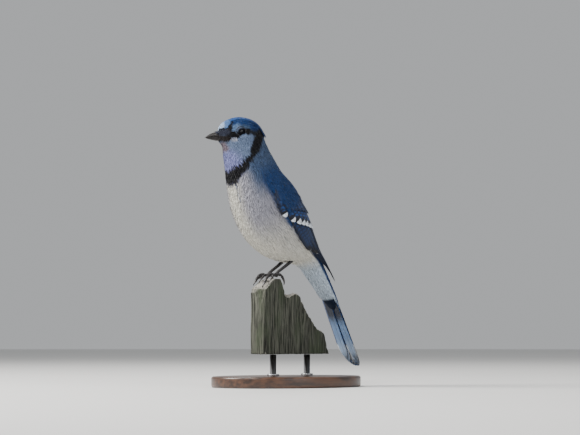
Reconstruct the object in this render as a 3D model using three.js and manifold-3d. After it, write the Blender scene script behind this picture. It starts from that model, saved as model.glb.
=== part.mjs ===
// A life-size blue jay, perched on the worn top of a fence picket that a small display stand holds up.
// Millimetres, +Z up, the origin under the middle of the stand's base. The jay heads towards -X.
import * as THREE from "three";
import { mergeVertices } from "three/addons/utils/BufferGeometryUtils.js";
import Module from "manifold-3d";

const wasm = await Module();
wasm.setup();

// Driving sizes
const GAP = 0.3; // clearance between neighbouring pieces
const BASE_LENGTH = 150;
const BASE_WIDTH = 108;
const BASE_HEIGHT = 10;
const ROD_RADIUS = 3;
const ROD_SPACING = 46;
const PICKET_WIDTH = 89;
const PICKET_THICKNESS = 18;
const PICKET_TURN = THREE.MathUtils.degToRad(12); // the picket's face against the jay's middle plane
const PICKET_SHIFT = 1.2; // how far right of the middle plane the picket stands
const PICKET_FOOT = -70; // cut end of the picket, below the grip
const GRIP = new THREE.Vector3(-15, 0, 100); // top of the picket, where the feet hold it
const HEAD_YAW = THREE.MathUtils.degToRad(25); // the head is turned to the jay's right
const NECK_PIVOT_X = -24.1;
const TWIST_FROM = 86; // heights between which the neck twists
const TWIST_TO = 124;
const EYE_X = -36.1; // the eyes' station and level, before the twist
const EYE_Z = 132.4;
const EYE_RADIUS = 4.5;
const EYE_OFFSET = 10.5;
const LID_RADIUS = 4.3;
const LID_THICKNESS = 0.65;
const LID_OFFSET = 3.0; // how far the lids stand out from the middle of the eye
const AROUND = 24; // facets round the body
const FOOT_Y = 6.6; // each foot's distance from the middle plane
const VANE_EDGE = 0.5; // a feather's thickness at its edge
const FEATHER_THICKNESS = 0.9;

// Body sections from the bill's root to the end of the tail coverts: the back's point and the front's
// point in the middle plane, the half width, and the exponent of the section's outline.
const SECTIONS = [
  { name: "bill_root", back: [-55.7, 134.2], front: [-55.7, 125.6], half: 4.9, power: 2.2 },
  { name: "forehead", back: [-54.6, 137.6], front: [-54.9, 124.2], half: 6.8, power: 2.1 },
  { name: "brow", back: [-51.8, 141.2], front: [-53.9, 122.9], half: 8.8, power: 2.1 },
  { name: "fore_crown", back: [-45.2, 145.0], front: [-52.6, 121.4], half: 11.4, power: 2.1 },
  { name: "crown", back: [-36.1, 146.7], front: [-51.7, 119.8], half: 13.1, power: 2.1 },
  { name: "hind_crown", back: [-26.3, 144.8], front: [-51.1, 117.4], half: 14.2, power: 2.1 },
  { name: "crest_root", back: [-18.7, 139.4], front: [-51.0, 114.4], half: 15.4, power: 2.1 },
  { name: "nape", back: [-14.4, 131.2], front: [-50.9, 110.6], half: 17.2, power: 2.05 },
  { name: "neck", back: [-11.6, 123.6], front: [-50.4, 106.0], half: 19.0, power: 2.0 },
  { name: "low_neck", back: [-8.2, 116.2], front: [-49.6, 99.8], half: 20.8, power: 2.0 },
  { name: "collar", back: [-3.2, 107.6], front: [-48.2, 88.6], half: 23.2, power: 2.0 },
  { name: "shoulder", back: [2.6, 98.4], front: [-45.6, 74.6], half: 25.2, power: 2.05 },
  { name: "mantle", back: [10.2, 89.4], front: [-41.4, 59.4], half: 26.8, power: 2.1 },
  { name: "breast", back: [16.6, 80.6], front: [-34.4, 45.6], half: 27.6, power: 2.1 },
  { name: "back", back: [22.4, 71.6], front: [-25.5, 33.6], half: 27.4, power: 2.1 },
  { name: "belly", back: [27.8, 62.6], front: [-14.7, 24.6], half: 26.2, power: 2.1 },
  { name: "low_back", back: [32.6, 53.2], front: [-4.5, 18.8], half: 24.0, power: 2.05 },
  { name: "flank", back: [36.8, 44.2], front: [5.5, 15.8], half: 21.4, power: 2.0 },
  { name: "rump", back: [41.0, 34.8], front: [14.5, 14.4], half: 18.4, power: 2.0 },
  { name: "vent", back: [46.3, 25.4], front: [23.0, 13.4], half: 15.2, power: 2.0 },
  { name: "tail_root", back: [52.2, 15.6], front: [31.5, 10.2], half: 12.8, power: 2.0 },
  { name: "coverts", back: [57.6, 6.0], front: [39.2, 1.5], half: 11.4, power: 2.0 },
  { name: "low_coverts", back: [62.8, -4.0], front: [47.6, -8.0], half: 10.6, power: 2.0 },
  { name: "thin_coverts", back: [68.4, -15.4], front: [57.4, -20.0], half: 9.8, power: 2.0 },
  { name: "covert_tips", back: [73.0, -26.6], front: [66.8, -29.0], half: 7.8, power: 2.0 },
];
const station = (name) => SECTIONS.findIndex((section) => section.name === name);

// The body's surface
const curve = (values) => new THREE.CatmullRomCurve3(values);
const backCurve = curve(SECTIONS.map((s) => new THREE.Vector3(s.back[0], s.half, s.back[1])));
const frontCurve = curve(SECTIONS.map((s) => new THREE.Vector3(s.front[0], s.power, s.front[1])));

// Turns a point of the straight jay with its head: none below the neck, the full turn at the head.
function twist(point) {
  const share = THREE.MathUtils.smoothstep(point.z, TWIST_FROM, TWIST_TO);
  const angle = -HEAD_YAW * share;
  const x = point.x - NECK_PIVOT_X;
  return new THREE.Vector3(
    NECK_PIVOT_X + x * Math.cos(angle) - point.y * Math.sin(angle),
    x * Math.sin(angle) + point.y * Math.cos(angle),
    point.z,
  );
}

// The point of the body's surface at a station along it and an angle round it: 0 is the back,
// 90 the left side and 180 the front. More room swells the body.
function bodyPoint(along, degrees, swell = 0) {
  const share = THREE.MathUtils.clamp(along / (SECTIONS.length - 1), 0, 1);
  const back = backCurve.getPoint(share);
  const front = frontCurve.getPoint(share);
  const angle = THREE.MathUtils.degToRad(degrees);
  const middle = new THREE.Vector3((back.x + front.x) / 2, 0, (back.z + front.z) / 2);
  const reach = new THREE.Vector3((back.x - front.x) / 2, 0, (back.z - front.z) / 2);
  const depth = reach.length();
  reach.multiplyScalar((depth + swell) / depth);
  const bend = (value) => Math.sign(value) * Math.abs(value) ** (2 / front.y);
  const side = -(back.y + swell) * bend(Math.sin(angle));
  return twist(middle.addScaledVector(reach, bend(Math.cos(angle))).add(new THREE.Vector3(0, side, 0)));
}

// The surface's outward normal and its direction towards the tail.
function bodyFrame(along, degrees) {
  const step = 0.05;
  const low = Math.max(along - step, 0);
  const high = Math.min(along + step, SECTIONS.length - 1);
  const tailward = bodyPoint(high, degrees).sub(bodyPoint(low, degrees)).normalize();
  const round = bodyPoint(along, degrees + 1).sub(bodyPoint(along, degrees - 1)).normalize();
  const normal = new THREE.Vector3().crossVectors(round, tailward).normalize();
  return { normal, tailward };
}

// Closed meshes from rings of points: each ring joins the next, and the ends are closed flat.
function ringSolid(rings) {
  const count = rings[0].length;
  const points = rings.flat();
  const faces = [];
  for (let r = 0; r + 1 < rings.length; r += 1) {
    for (let i = 0; i < count; i += 1) {
      const j = (i + 1) % count;
      const [a, b, c, d] = [r * count + i, r * count + j, (r + 1) * count + j, (r + 1) * count + i];
      faces.push(a, b, c, a, c, d);
    }
  }
  for (const [ring, flip] of [[0, true], [rings.length - 1, false]]) {
    const centre = new THREE.Vector3();
    rings[ring].forEach((point) => centre.add(point));
    points.push(centre.divideScalar(count));
    const hub = points.length - 1;
    for (let i = 0; i < count; i += 1) {
      const [a, b] = [ring * count + i, ring * count + ((i + 1) % count)];
      faces.push(...(flip ? [hub, b, a] : [hub, a, b]));
    }
  }
  return solidFrom(points, faces);
}

function solidFrom(points, faces) {
  const make = (order) =>
    new wasm.Manifold(
      new wasm.Mesh({
        numProp: 3,
        vertProperties: new Float32Array(points.flatMap((p) => [p.x, p.y, p.z])),
        triVerts: new Uint32Array(order),
      }),
    );
  const solid = make(faces);
  if (solid.volume() > 0) return solid;
  const turned = [];
  for (let i = 0; i < faces.length; i += 3) turned.push(faces[i], faces[i + 2], faces[i + 1]);
  return make(turned);
}

function solidOf(geometry) {
  const bare = geometry.clone();
  bare.deleteAttribute("normal");
  bare.deleteAttribute("uv");
  const merged = mergeVertices(bare, 1e-4);
  const points = [];
  for (let i = 0; i < merged.attributes.position.count; i += 1)
    points.push(new THREE.Vector3().fromBufferAttribute(merged.attributes.position, i));
  return solidFrom(points, [...merged.index.array]);
}

const fuse = (solids) => solids.reduce((whole, solid) => whole.add(solid));

// The largest closed surface of a solid, with its sealed hollows filled.
function largest(solid) {
  const [whole] = solid.decompose().sort((a, b) => b.volume() - a.volume());
  return whole;
}

// A stretch of the body between two stations.
function bodyStretch(from, to, rowsPerStation, swell = 0) {
  const rows = Math.max(2, Math.round((to - from) * rowsPerStation));
  const rings = [];
  for (let r = 0; r <= rows; r += 1) {
    const along = from + ((to - from) * r) / rows;
    const ring = [];
    for (let i = 0; i < AROUND; i += 1) ring.push(bodyPoint(along, (360 * i) / AROUND, swell));
    rings.push(ring);
  }
  return ringSolid(rings);
}

// A round bar of changing radius along a curve.
function bar(points, radii, sides, rows) {
  const path = curve(points);
  const radius = (share) => {
    const place = share * (radii.length - 1);
    const low = Math.min(Math.floor(place), radii.length - 2);
    return THREE.MathUtils.lerp(radii[low], radii[low + 1], place - low);
  };
  const rings = [];
  let side = new THREE.Vector3(0, 1, 0);
  for (let r = 0; r <= rows; r += 1) {
    const share = r / rows;
    const centre = path.getPointAt(share);
    const along = path.getTangentAt(share);
    side = side.addScaledVector(along, -side.dot(along)).normalize();
    const up = new THREE.Vector3().crossVectors(along, side);
    const ring = [];
    for (let i = 0; i < sides; i += 1) {
      const angle = (2 * Math.PI * i) / sides;
      ring.push(
        centre
          .clone()
          .addScaledVector(side, radius(share) * Math.cos(angle))
          .addScaledVector(up, radius(share) * Math.sin(angle)),
      );
    }
    rings.push(ring);
  }
  return ringSolid(rings);
}

// Half width of a feather along its length: narrow at the root, widest past the middle, round at the tip.
function featherOutline(share, tipLength) {
  const root = 0.55 + 0.45 * THREE.MathUtils.smoothstep(share, 0, 0.5);
  const toTip = THREE.MathUtils.clamp((1 - share) / tipLength, 0, 1);
  return root * Math.sqrt(1 - (1 - toTip) ** 2 * 0.94);
}

// A feather from rows of { centre, normal, side, half }: a thin vane that droops from its shaft.
function vane(rows, { thickness = FEATHER_THICKNESS, droop = 26, inner = 1 }) {
  return ringSolid(
    rows.map(({ centre, normal, side, half }) => {
      const at = (across, lift) => {
        const reach = across * half * (across < 0 ? inner : 1);
        return centre
          .clone()
          .addScaledVector(side, reach)
          .addScaledVector(normal, lift - (reach * reach) / (2 * droop));
      };
      const shaft = thickness / 2;
      const edge = VANE_EDGE / 2;
      return [at(-1, edge), at(0, shaft), at(1, edge), at(1, -edge), at(0, -shaft), at(-1, -edge)];
    }),
  );
}

// A feather that lies on the body, from a root to a tip given as a station, an angle and a lift.
function bodyFeather({ root, tip, half, rows = 4, tipLength = 0.35, droop = 26, inner = 1 }) {
  const list = [];
  for (let r = 0; r <= rows; r += 1) {
    const share = r / rows;
    const place = root.map((value, i) => THREE.MathUtils.lerp(value, tip[i], share));
    const ahead = root.map((value, i) => THREE.MathUtils.lerp(value, tip[i], share + 0.02));
    const { normal } = bodyFrame(place[0], place[1]);
    const centre = bodyPoint(place[0], place[1]).addScaledVector(normal, place[2]);
    const { normal: aheadNormal } = bodyFrame(ahead[0], ahead[1]);
    const next = bodyPoint(ahead[0], ahead[1]).addScaledVector(aheadNormal, ahead[2]);
    const forward = next.sub(centre).normalize();
    const side = new THREE.Vector3().crossVectors(normal, forward).normalize();
    list.push({ centre, normal, side, half: half * featherOutline(share, tipLength) });
  }
  return vane(list, { droop, inner });
}

// Rows of like feathers side by side. Each end is [station, angle, lift] at the low and the high end
// of the row, and mirror gives the right side.
function featherRow({ count, rootLow, rootHigh, tipLow, tipHigh, half, mirror = 1, ...rest }) {
  const feathers = [];
  for (let i = 0; i < count; i += 1) {
    const share = count > 1 ? i / (count - 1) : 0.5;
    const mix = (low, high) => low.map((value, k) => THREE.MathUtils.lerp(value, high[k], share));
    const root = mix(rootLow, rootHigh);
    const tip = mix(tipLow, tipHigh);
    root[1] *= mirror;
    tip[1] *= mirror;
    feathers.push(bodyFeather({ root, tip, half: THREE.MathUtils.lerp(half[0], half[1], share), ...rest }));
  }
  return feathers;
}

// Head
const HEAD_END = station("nape");
const NECK_END = station("shoulder");
const TORSO_END = station("tail_root");
const CUT = 0.02; // half the width of the cuts between head, neck, torso and tail, in stations

function headPoint(forward, left, up) {
  return twist(new THREE.Vector3(EYE_X - forward, -left, EYE_Z + up));
}

function ball(centre, radius, wide = 14, high = 10) {
  const geometry = new THREE.SphereGeometry(radius, wide, high);
  geometry.translate(centre.x, centre.y, centre.z);
  return solidOf(geometry);
}

function lid(side) {
  const ring = new THREE.TorusGeometry(LID_RADIUS, LID_THICKNESS, 5, 16);
  ring.rotateX(Math.PI / 2);
  ring.rotateZ(-HEAD_YAW);
  const centre = headPoint(0, side * (EYE_OFFSET + LID_OFFSET), 0);
  ring.translate(centre.x, centre.y, centre.z);
  return solidOf(ring);
}

const CREST_ROWS = [
  { count: 4, root: [2.8, -0.9], tip: [4.4, 0.3], spread: 28, tipSpread: 38, half: 3.6 },
  { count: 5, root: [3.9, -0.9], tip: [5.5, 0.5], spread: 38, tipSpread: 38, half: 3.8 },
  { count: 5, root: [5.0, -0.9], tip: [6.5, 0.8], spread: 34, tipSpread: 26, half: 3.8 },
  { count: 3, root: [5.6, -0.7], tip: [7.0, 1.2], spread: 15, tipSpread: 10, half: 3.6 },
];

function crest() {
  return CREST_ROWS.flatMap(({ count, root, tip, spread, tipSpread, half }) =>
    featherRow({
      count,
      rootLow: [root[0], -spread, root[1]],
      rootHigh: [root[0], spread, root[1]],
      tipLow: [tip[0], -tipSpread, tip[1]],
      tipHigh: [tip[0], tipSpread, tip[1]],
      half: [half, half],
      rows: 2,
      tipLength: 0.6,
      droop: 14,
    }),
  );
}

// The bristly tufts that lie forward over the bill's root and hide the nostrils.
function nasalTufts() {
  const tufts = [];
  for (const side of [-1, 1]) {
    for (const [up, out] of [[0.9, 1.8], [-1.2, 3.9], [-3.2, 4.7]]) {
      const root = headPoint(15.5, side * (out + 1.6), up + 1.2);
      const tip = headPoint(22.8, side * (out + 0.5), up - 0.7);
      const middle = root.clone().lerp(tip, 0.5).add(new THREE.Vector3(0, 0, 0.5));
      tufts.push(bar([root, middle, tip], [1.5, 1.1, 0.35], 5, 3));
    }
  }
  return tufts;
}

// Bill: the upper half arches over the lower and ends in a slight hook past it.
const BILL_ROOT = 19.9;
const BILL_TIP = 31.6;
const LOWER_TIP = 30.4;
const BILL_HALF = 4.4;
const MOUTH_ROOT = -4.2;
const MOUTH_TIP = -5.1;
const CULMEN_ROOT = 0.5;
const GONYS_ROOT = -7.2;
const alongBill = (reach) => (reach - BILL_ROOT) / (BILL_TIP - BILL_ROOT);
const mouthLine = (share) =>
  THREE.MathUtils.lerp(MOUTH_ROOT, MOUTH_TIP, share) + 0.4 * Math.sin(Math.PI * share);
const culmen = (share) => THREE.MathUtils.lerp(CULMEN_ROOT, MOUTH_TIP + 0.3, share ** 1.7);
const gonys = (share) => THREE.MathUtils.lerp(GONYS_ROOT, MOUTH_TIP - 0.3, share ** 1.4);

function billHalf(upper) {
  const rings = [];
  const rows = 7;
  for (let r = 0; r <= rows; r += 1) {
    const reach = THREE.MathUtils.lerp(BILL_ROOT, upper ? BILL_TIP : LOWER_TIP, r / rows);
    const share = alongBill(reach);
    const half = BILL_HALF * (1 - share) ** 0.8 * (upper ? 1 : 0.9) + 0.35;
    const flat = mouthLine(share) + (upper ? GAP : -GAP) / 2;
    const crown = upper ? Math.max(culmen(share), flat + 0.4) : Math.min(gonys(share), flat - 0.4);
    const ring = [];
    for (let i = 0; i <= 8; i += 1) {
      const angle = (Math.PI * i) / 8;
      const rise = Math.sin(angle) ** 0.8;
      ring.push(headPoint(reach, half * Math.cos(angle), THREE.MathUtils.lerp(flat, crown, rise)));
    }
    rings.push(ring);
  }
  return ringSolid(rings);
}

function nostril(side) {
  const hole = new THREE.SphereGeometry(1, 8, 6);
  hole.scale(1.1, 0.9, 0.5);
  hole.rotateZ(-HEAD_YAW);
  const centre = headPoint(24.2, side * 3.3, -2.0);
  hole.translate(centre.x, centre.y, centre.z);
  return solidOf(hole);
}

// The mouth's line, running back from the bill to the corner under the eye.
function mouthGroove(side) {
  const line = [[20.5, 6.4, -4.4], [15.5, 9.2, -5.2], [10.9, 11.7, -6.6]];
  const groove = line.map(([forward, out, up]) => headPoint(forward, side * out, up));
  return bar(groove, [0.5, 0.5, 0.4], 4, 3);
}

function makeHead() {
  const skull = bodyStretch(0, HEAD_END - CUT, 2);
  let head = fuse([skull, ...crest(), ...nasalTufts(), lid(1), lid(-1)]);
  for (const side of [1, -1]) {
    head = head.subtract(ball(headPoint(0, side * EYE_OFFSET, 0), EYE_RADIUS + GAP));
    head = head.subtract(mouthGroove(side));
  }
  return largest(head.subtract(bodyStretch(HEAD_END, HEAD_END + 1, 2, GAP)));
}

// Wings: a thin body hidden by tiers of feathers. Each tier is a row from the wing's lower edge
// to its edge on the back.
const WING_TIERS = [
  // primaries
  { count: 6, rootLow: [15.0, 90, 0.4], rootHigh: [15.8, 68, 0.6],
    tipLow: [19.4, 66, 1.5], tipHigh: [22.0, 24, 4.7],
    half: [4.2, 4.8], rows: 5, tipLength: 0.25, inner: 0.9 },
  // secondaries
  { count: 5, rootLow: [14.0, 86, 0.9], rootHigh: [14.2, 42, 1.2],
    tipLow: [17.9, 84, 2.0], tipHigh: [20.1, 27, 2.7],
    half: [5.2, 5.6], rows: 4, tipLength: 0.25 },
  // tertials
  { count: 3, rootLow: [14.2, 44, 1.4], rootHigh: [14.2, 20, 1.6],
    tipLow: [19.3, 34, 2.9], tipHigh: [18.2, 16, 3.2],
    half: [6.0, 5.4], rows: 4, tipLength: 0.35 },
  // greater coverts, with the white tips
  { count: 6, rootLow: [12.6, 92, 1.2], rootHigh: [13.9, 32, 1.4],
    tipLow: [14.0, 92, 2.9], tipHigh: [16.2, 32, 3.5],
    half: [5.2, 5.6], rows: 3, tipLength: 0.4 },
  // median coverts
  { count: 5, rootLow: [12.0, 87, 1.0], rootHigh: [12.7, 36, 1.4],
    tipLow: [13.1, 90, 3.1], tipHigh: [14.4, 36, 3.6],
    half: [5.2, 5.6], rows: 2, tipLength: 0.7 },
  // lesser coverts
  { count: 4, rootLow: [11.4, 80, 0.8], rootHigh: [11.7, 38, 1.1],
    tipLow: [12.5, 85, 2.9], tipHigh: [13.1, 38, 3.4],
    half: [5.8, 6.2], rows: 2, tipLength: 0.7 },
  // scapulars
  { count: 4, rootLow: [12.4, 46, 1.0], rootHigh: [12.8, 19, 1.0],
    tipLow: [14.7, 42, 4.0], tipHigh: [15.5, 16, 3.6],
    half: [5.2, 5.2], rows: 3, tipLength: 0.5 },
];
const WING_FROM = 11.3; // stations and angles that the wing's body covers
const WING_TO = 18.4;
const WING_LOW = 92;
const WING_HIGH = 14;

function wingBody(mirror) {
  const rows = 10;
  const columns = 6;
  const rings = [];
  for (let r = 0; r <= rows; r += 1) {
    const share = r / rows;
    const along = THREE.MathUtils.lerp(WING_FROM, WING_TO, share);
    const open = Math.sin(Math.PI * (0.12 + 0.76 * share)) ** 0.5;
    const middle = THREE.MathUtils.lerp(64, 44, share);
    const low = THREE.MathUtils.lerp(middle, THREE.MathUtils.lerp(WING_LOW, 78, share), open);
    const high = THREE.MathUtils.lerp(middle, WING_HIGH, open);
    const outer = [];
    const inner = [];
    for (let i = 0; i <= columns; i += 1) {
      const across = i / columns;
      const degrees = mirror * THREE.MathUtils.lerp(low, high, across);
      const thin = 1 - 0.5 * THREE.MathUtils.smoothstep(along, 14.5, 16.5);
      const lift = 0.9 + 1.4 * Math.sin(Math.PI * across) ** 0.5 * open * thin;
      outer.push(bodyPoint(along, degrees, lift));
      inner.unshift(bodyPoint(along, degrees, -0.8));
    }
    rings.push([...outer, ...inner]);
  }
  return ringSolid(rings);
}

const swollenBody = bodyStretch(9, 23.6, 1.6, GAP + 0.1);

function makeWing(mirror) {
  const feathers = WING_TIERS.flatMap((tier) => featherRow({ ...tier, mirror }));
  return largest(fuse([wingBody(mirror), ...feathers]).subtract(swollenBody));
}

// Tail: twelve flight feathers in a closed, slightly roofed stack, with coverts over and under it.
const TAIL_LENGTH = 125;
const TAIL_ROOT = new THREE.Vector3(40.2, 0, 30);
const TAIL_SLOPE = THREE.MathUtils.degToRad(64.4); // below the horizontal
const TAIL_HALF = 7; // half the width of one feather
const TAIL_SPREAD = 6.2; // how far out the outer feathers' shafts end
const TAIL_STACK = 0.86; // step from one layer to the next
const tailAlong = new THREE.Vector3(Math.cos(TAIL_SLOPE), 0, -Math.sin(TAIL_SLOPE));
const tailBack = new THREE.Vector3(Math.sin(TAIL_SLOPE), 0, Math.cos(TAIL_SLOPE));

function tailFeather(pair, side, layer) {
  const rows = 5;
  const start = 24;
  const length = TAIL_LENGTH - [0, 0.5, 1.6, 3.4, 6, 10][pair];
  const out = pair / 5;
  const list = [];
  for (let r = 0; r <= rows; r += 1) {
    const share = r / rows;
    const reach = THREE.MathUtils.lerp(start, length, share);
    const lateral = side * (0.8 + out * THREE.MathUtils.lerp(2.4, TAIL_SPREAD, share));
    const sag = 1.2 * share * share;
    const centre = TAIL_ROOT.clone()
      .addScaledVector(tailAlong, reach)
      .addScaledVector(tailBack, 5.4 - layer * TAIL_STACK - sag)
      .add(new THREE.Vector3(0, -lateral, 0));
    const normal = tailBack.clone().applyAxisAngle(tailAlong, side * out * 0.05);
    const across = new THREE.Vector3(0, -side, 0).applyAxisAngle(tailAlong, side * out * 0.05);
    const half = TAIL_HALF * (0.74 + 0.26 * share) * featherOutline(0.5 + share / 2, 0.16);
    list.push({ centre, normal, side: across, half });
  }
  return vane(list, { thickness: 0.75, droop: 110, inner: pair === 0 ? 0.8 : 0.9 - 0.1 * out });
}

function tailFeathers() {
  const feathers = [tailFeather(0, 1, 0), tailFeather(0, -1, 1)];
  for (let pair = 1; pair < 6; pair += 1)
    for (const side of [1, -1]) {
      const under = side < 0 && pair > 3 ? 0.5 : 0;
      feathers.push(tailFeather(pair, side, pair + 1 + under));
    }
  return feathers;
}

const TAIL_COVERTS = [
  // above
  { count: 4, rootLow: [20.7, -46, -0.9], rootHigh: [20.7, 46, -0.9],
    tipLow: [22.9, -42, 0.6], tipHigh: [22.9, 42, 0.6],
    half: [4.8, 4.8], rows: 3, tipLength: 0.5, droop: 14 },
  { count: 3, rootLow: [22.0, -30, -0.9], rootHigh: [22.0, 30, -0.9],
    tipLow: [23.8, -26, 0.6], tipHigh: [23.8, 26, 0.6],
    half: [4.2, 4.2], rows: 3, tipLength: 0.5, droop: 14 },
  // below
  { count: 4, rootLow: [20.8, 126, -0.9], rootHigh: [20.8, 234, -0.9],
    tipLow: [22.8, 130, 0.5], tipHigh: [22.8, 230, 0.5],
    half: [4.8, 4.8], rows: 3, tipLength: 0.6, droop: 14 },
  { count: 3, rootLow: [22.3, 140, -0.8], rootHigh: [22.3, 220, -0.8],
    tipLow: [24, 146, 0.6], tipHigh: [24, 214, 0.6],
    half: [4.4, 4.4], rows: 3, tipLength: 0.6, droop: 14 },
];

function makeTail() {
  const sheath = bodyStretch(TORSO_END + CUT, SECTIONS.length - 1, 2);
  const tail = fuse([sheath, ...tailFeathers(), ...TAIL_COVERTS.flatMap((row) => featherRow(row))]);
  return largest(tail.subtract(bodyStretch(TORSO_END - 4, TORSO_END, 2, GAP)));
}

// Legs and feet
const TOE_JOINT = [-1.6, 3.6]; // x and z of the foot's joint, above the grip
const SHANK_TOP = [20, 19.5];

// The shank from the foot's joint into the plumage, swollen and begun early to cut its seat in the foot.
function shank(side, swell = 0, early = 0) {
  const y = -side * FOOT_Y;
  const foot = new THREE.Vector3(TOE_JOINT[0] + 1.2 - early, y, TOE_JOINT[1] + 1.0 - early);
  const middle = new THREE.Vector3(10, y * 1.04, 11.9);
  const top = new THREE.Vector3(SHANK_TOP[0], y * 1.1, SHANK_TOP[1]);
  return bar([foot, middle, top], [1.7, 1.4, 1.35, 1.5, 1.8].map((radius) => radius + swell), 8, 8);
}

// Each toe: its joints from the foot outwards, and its claw. Forward is -x, out is away from the middle
// plane. The toes arch, and the claws end in the wood.
const TOES = [
  { name: "middle", bones: [[-5.2, 0, 3.0], [-9.4, 0.3, 3.0], [-13.0, 0.5, -0.6], [-14.6, 0.6, -3.6]],
    claw: [[-16.0, 0.6, -5.2], [-17.0, 0.6, -6.8], [-17.4, 0.6, -8.6]], radius: 1.35 },
  { name: "inner", bones: [[-4.2, -2.0, 2.8], [-7.6, -3.2, 2.4], [-10.6, -3.8, -0.6]],
    claw: [[-12.2, -3.9, -2.4], [-13.4, -3.8, -4.2], [-13.9, -3.7, -6.2]], radius: 1.25 },
  { name: "outer", bones: [[-3.4, 1.8, 2.8], [-6.2, 2.9, 2.6], [-8.8, 3.3, 0.2]],
    claw: [[-10.4, 3.3, -1.2], [-11.6, 3.2, -2.8], [-12.1, 3.1, -4.9]], radius: 1.25 },
  { name: "hind", bones: [[1.0, 0, 3.0], [3.4, 0, 2.0], [4.8, 0.2, -0.8]],
    claw: [[5.7, 0.3, -3.0], [5.9, 0.3, -5.0], [5.3, 0.3, -6.9]], radius: 1.4 },
];
const FRONT_LEAN = 1.1; // the turned picket's front slope is lower under the left foot by this
const REAR_LEAN = 1.3; // and its rear slope further back

function makeFoot(side, swell = 0) {
  const at = ([x, out, z]) => {
    const front = THREE.MathUtils.smoothstep(-x, 8, 12) * side * FRONT_LEAN;
    const rear = THREE.MathUtils.smoothstep(x, 1, 5) * side * REAR_LEAN;
    return new THREE.Vector3(x + rear, -side * (FOOT_Y + out), z - front);
  };
  const heel = new THREE.Vector3(TOE_JOINT[0], -side * FOOT_Y, TOE_JOINT[1] - 2);
  const pieces = [ball(heel, 2.0 + swell, 8, 6)];
  for (const { bones, claw, radius } of TOES) {
    const pads = [1, 1, 0.86, 1, 0.8, 0.9].map((share) => radius * share + swell);
    pieces.push(bar([heel, ...bones.map(at)], pads, 6, 5));
    const horn = [0.72, 0.6, 0.4, 0.09].map((share) => radius * share + swell);
    pieces.push(bar([at(bones[bones.length - 1]), ...claw.map(at)], horn, 5, 3));
  }
  const foot = fuse(pieces);
  return swell ? foot : largest(foot.subtract(shank(side, GAP, GAP)));
}

// Perch: three layers of wood fibre, each broken off a little differently at the top.
// Points are along the picket and above the grip.
const PICKET_TOP = [
  [-21, -24], [-20.2, -14], [-18.2, -9.4], [-9.5, -2.6], [-6, -0.4], [1.4, -0.6], [3.4, -4.2], [6.4, -10.4],
  [10.4, -16.8], [16.5, -14.9], [22.5, -13.2], [27.5, -16], [36.5, -26.5], [45, -36.5], [53, -43], [61, -50],
];
const LAYERS = 3;
const PICKET_LEFT = -21;

function makePerch() {
  const layers = [];
  const thickness = PICKET_THICKNESS / LAYERS;
  for (let layer = 0; layer < LAYERS; layer += 1) {
    const outline = new THREE.Shape();
    outline.moveTo(PICKET_LEFT, PICKET_FOOT);
    PICKET_TOP.forEach(([along, up], i) => {
      const ends = i === 0 || i === PICKET_TOP.length - 1;
          const gripped = Math.abs(along) < 20;
      const ragged = gripped ? 0.5 : 2.2;
      const drop = ragged * (1 + Math.sin(5.1 * i + 2.3 * layer));
      const shift = ends || gripped ? 0 : 1.1 * Math.sin(3.7 * i + 1.9 * layer);
      outline.lineTo(along + shift, up - (ends ? 0 : drop));
    });
    outline.lineTo(PICKET_LEFT + PICKET_WIDTH, PICKET_FOOT);
    const overlap = layer < LAYERS - 1 ? 0.4 : 0;
    const geometry = new THREE.ExtrudeGeometry(outline, { depth: thickness + overlap, bevelEnabled: false });
    geometry.rotateX(Math.PI / 2);
    geometry.translate(0, PICKET_THICKNESS / 2 - layer * thickness, 0);
    layers.push(solidOf(geometry));
  }
  let picket = fuse(layers);
  for (const [along, depth, top, foot] of [[-12, 2.0, 0, -62], [13, 2.6, -5, -70], [34, 1.8, -10, -52]]) {
    for (const face of [1, -1]) {
      const crack = new THREE.BoxGeometry(1.2, 2 * depth, top - foot);
      crack.rotateY(0.03 * face);
      crack.translate(along + 3 * face, (face * PICKET_THICKNESS) / 2, (top + foot) / 2);
      picket = picket.subtract(solidOf(crack));
    }
  }
  for (const side of [1, -1]) {
    const seat = makeFoot(side, GAP).translate([0, -PICKET_SHIFT, 0]);
    picket = picket.subtract(seat.rotate([0, 0, -THREE.MathUtils.radToDeg(PICKET_TURN)]));
  }
  return largest(picket);
}

// Stand
function makeBase() {
  const rim = 2;
  const profile = [
    [0, 0], [1 - rim / 60, 0], [1, rim / 2], [1, BASE_HEIGHT - rim], [1 - rim / 60, BASE_HEIGHT], [0, BASE_HEIGHT],
  ].map(([radius, height]) => new THREE.Vector2(radius, height));
  const plate = new THREE.LatheGeometry(profile, 40);
  plate.rotateX(Math.PI / 2);
  plate.scale(BASE_LENGTH / 2, BASE_WIDTH / 2, 1);
  return solidOf(plate);
}

function makeRod(side) {
  const height = GRIP.z + PICKET_FOOT - BASE_HEIGHT - 2 * GAP;
  const rod = new THREE.CylinderGeometry(ROD_RADIUS, ROD_RADIUS, height, 16);
  rod.rotateX(Math.PI / 2);
  const along = PICKET_LEFT + PICKET_WIDTH / 2 + (side * ROD_SPACING) / 2;
  rod.translate(along, 0, -GRIP.z + BASE_HEIGHT + GAP + height / 2);
  return solidOf(rod);
}

// The scene
const group = new THREE.Group();
const jay = new THREE.Group();
jay.position.copy(GRIP);
group.add(jay);

function addNode(parent, name, solid, color, roughness, metalness = 0) {
  const mesh = solid.getMesh();
  const geometry = new THREE.BufferGeometry();
  geometry.setAttribute("position", new THREE.BufferAttribute(new Float32Array(mesh.vertProperties), 3));
  geometry.setIndex(new THREE.BufferAttribute(new Uint32Array(mesh.triVerts), 1));
  geometry.computeVertexNormals();
  const node = new THREE.Mesh(geometry, new THREE.MeshStandardMaterial({ color, roughness, metalness }));
  node.name = name;
  parent.add(node);
  return node;
}

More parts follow.
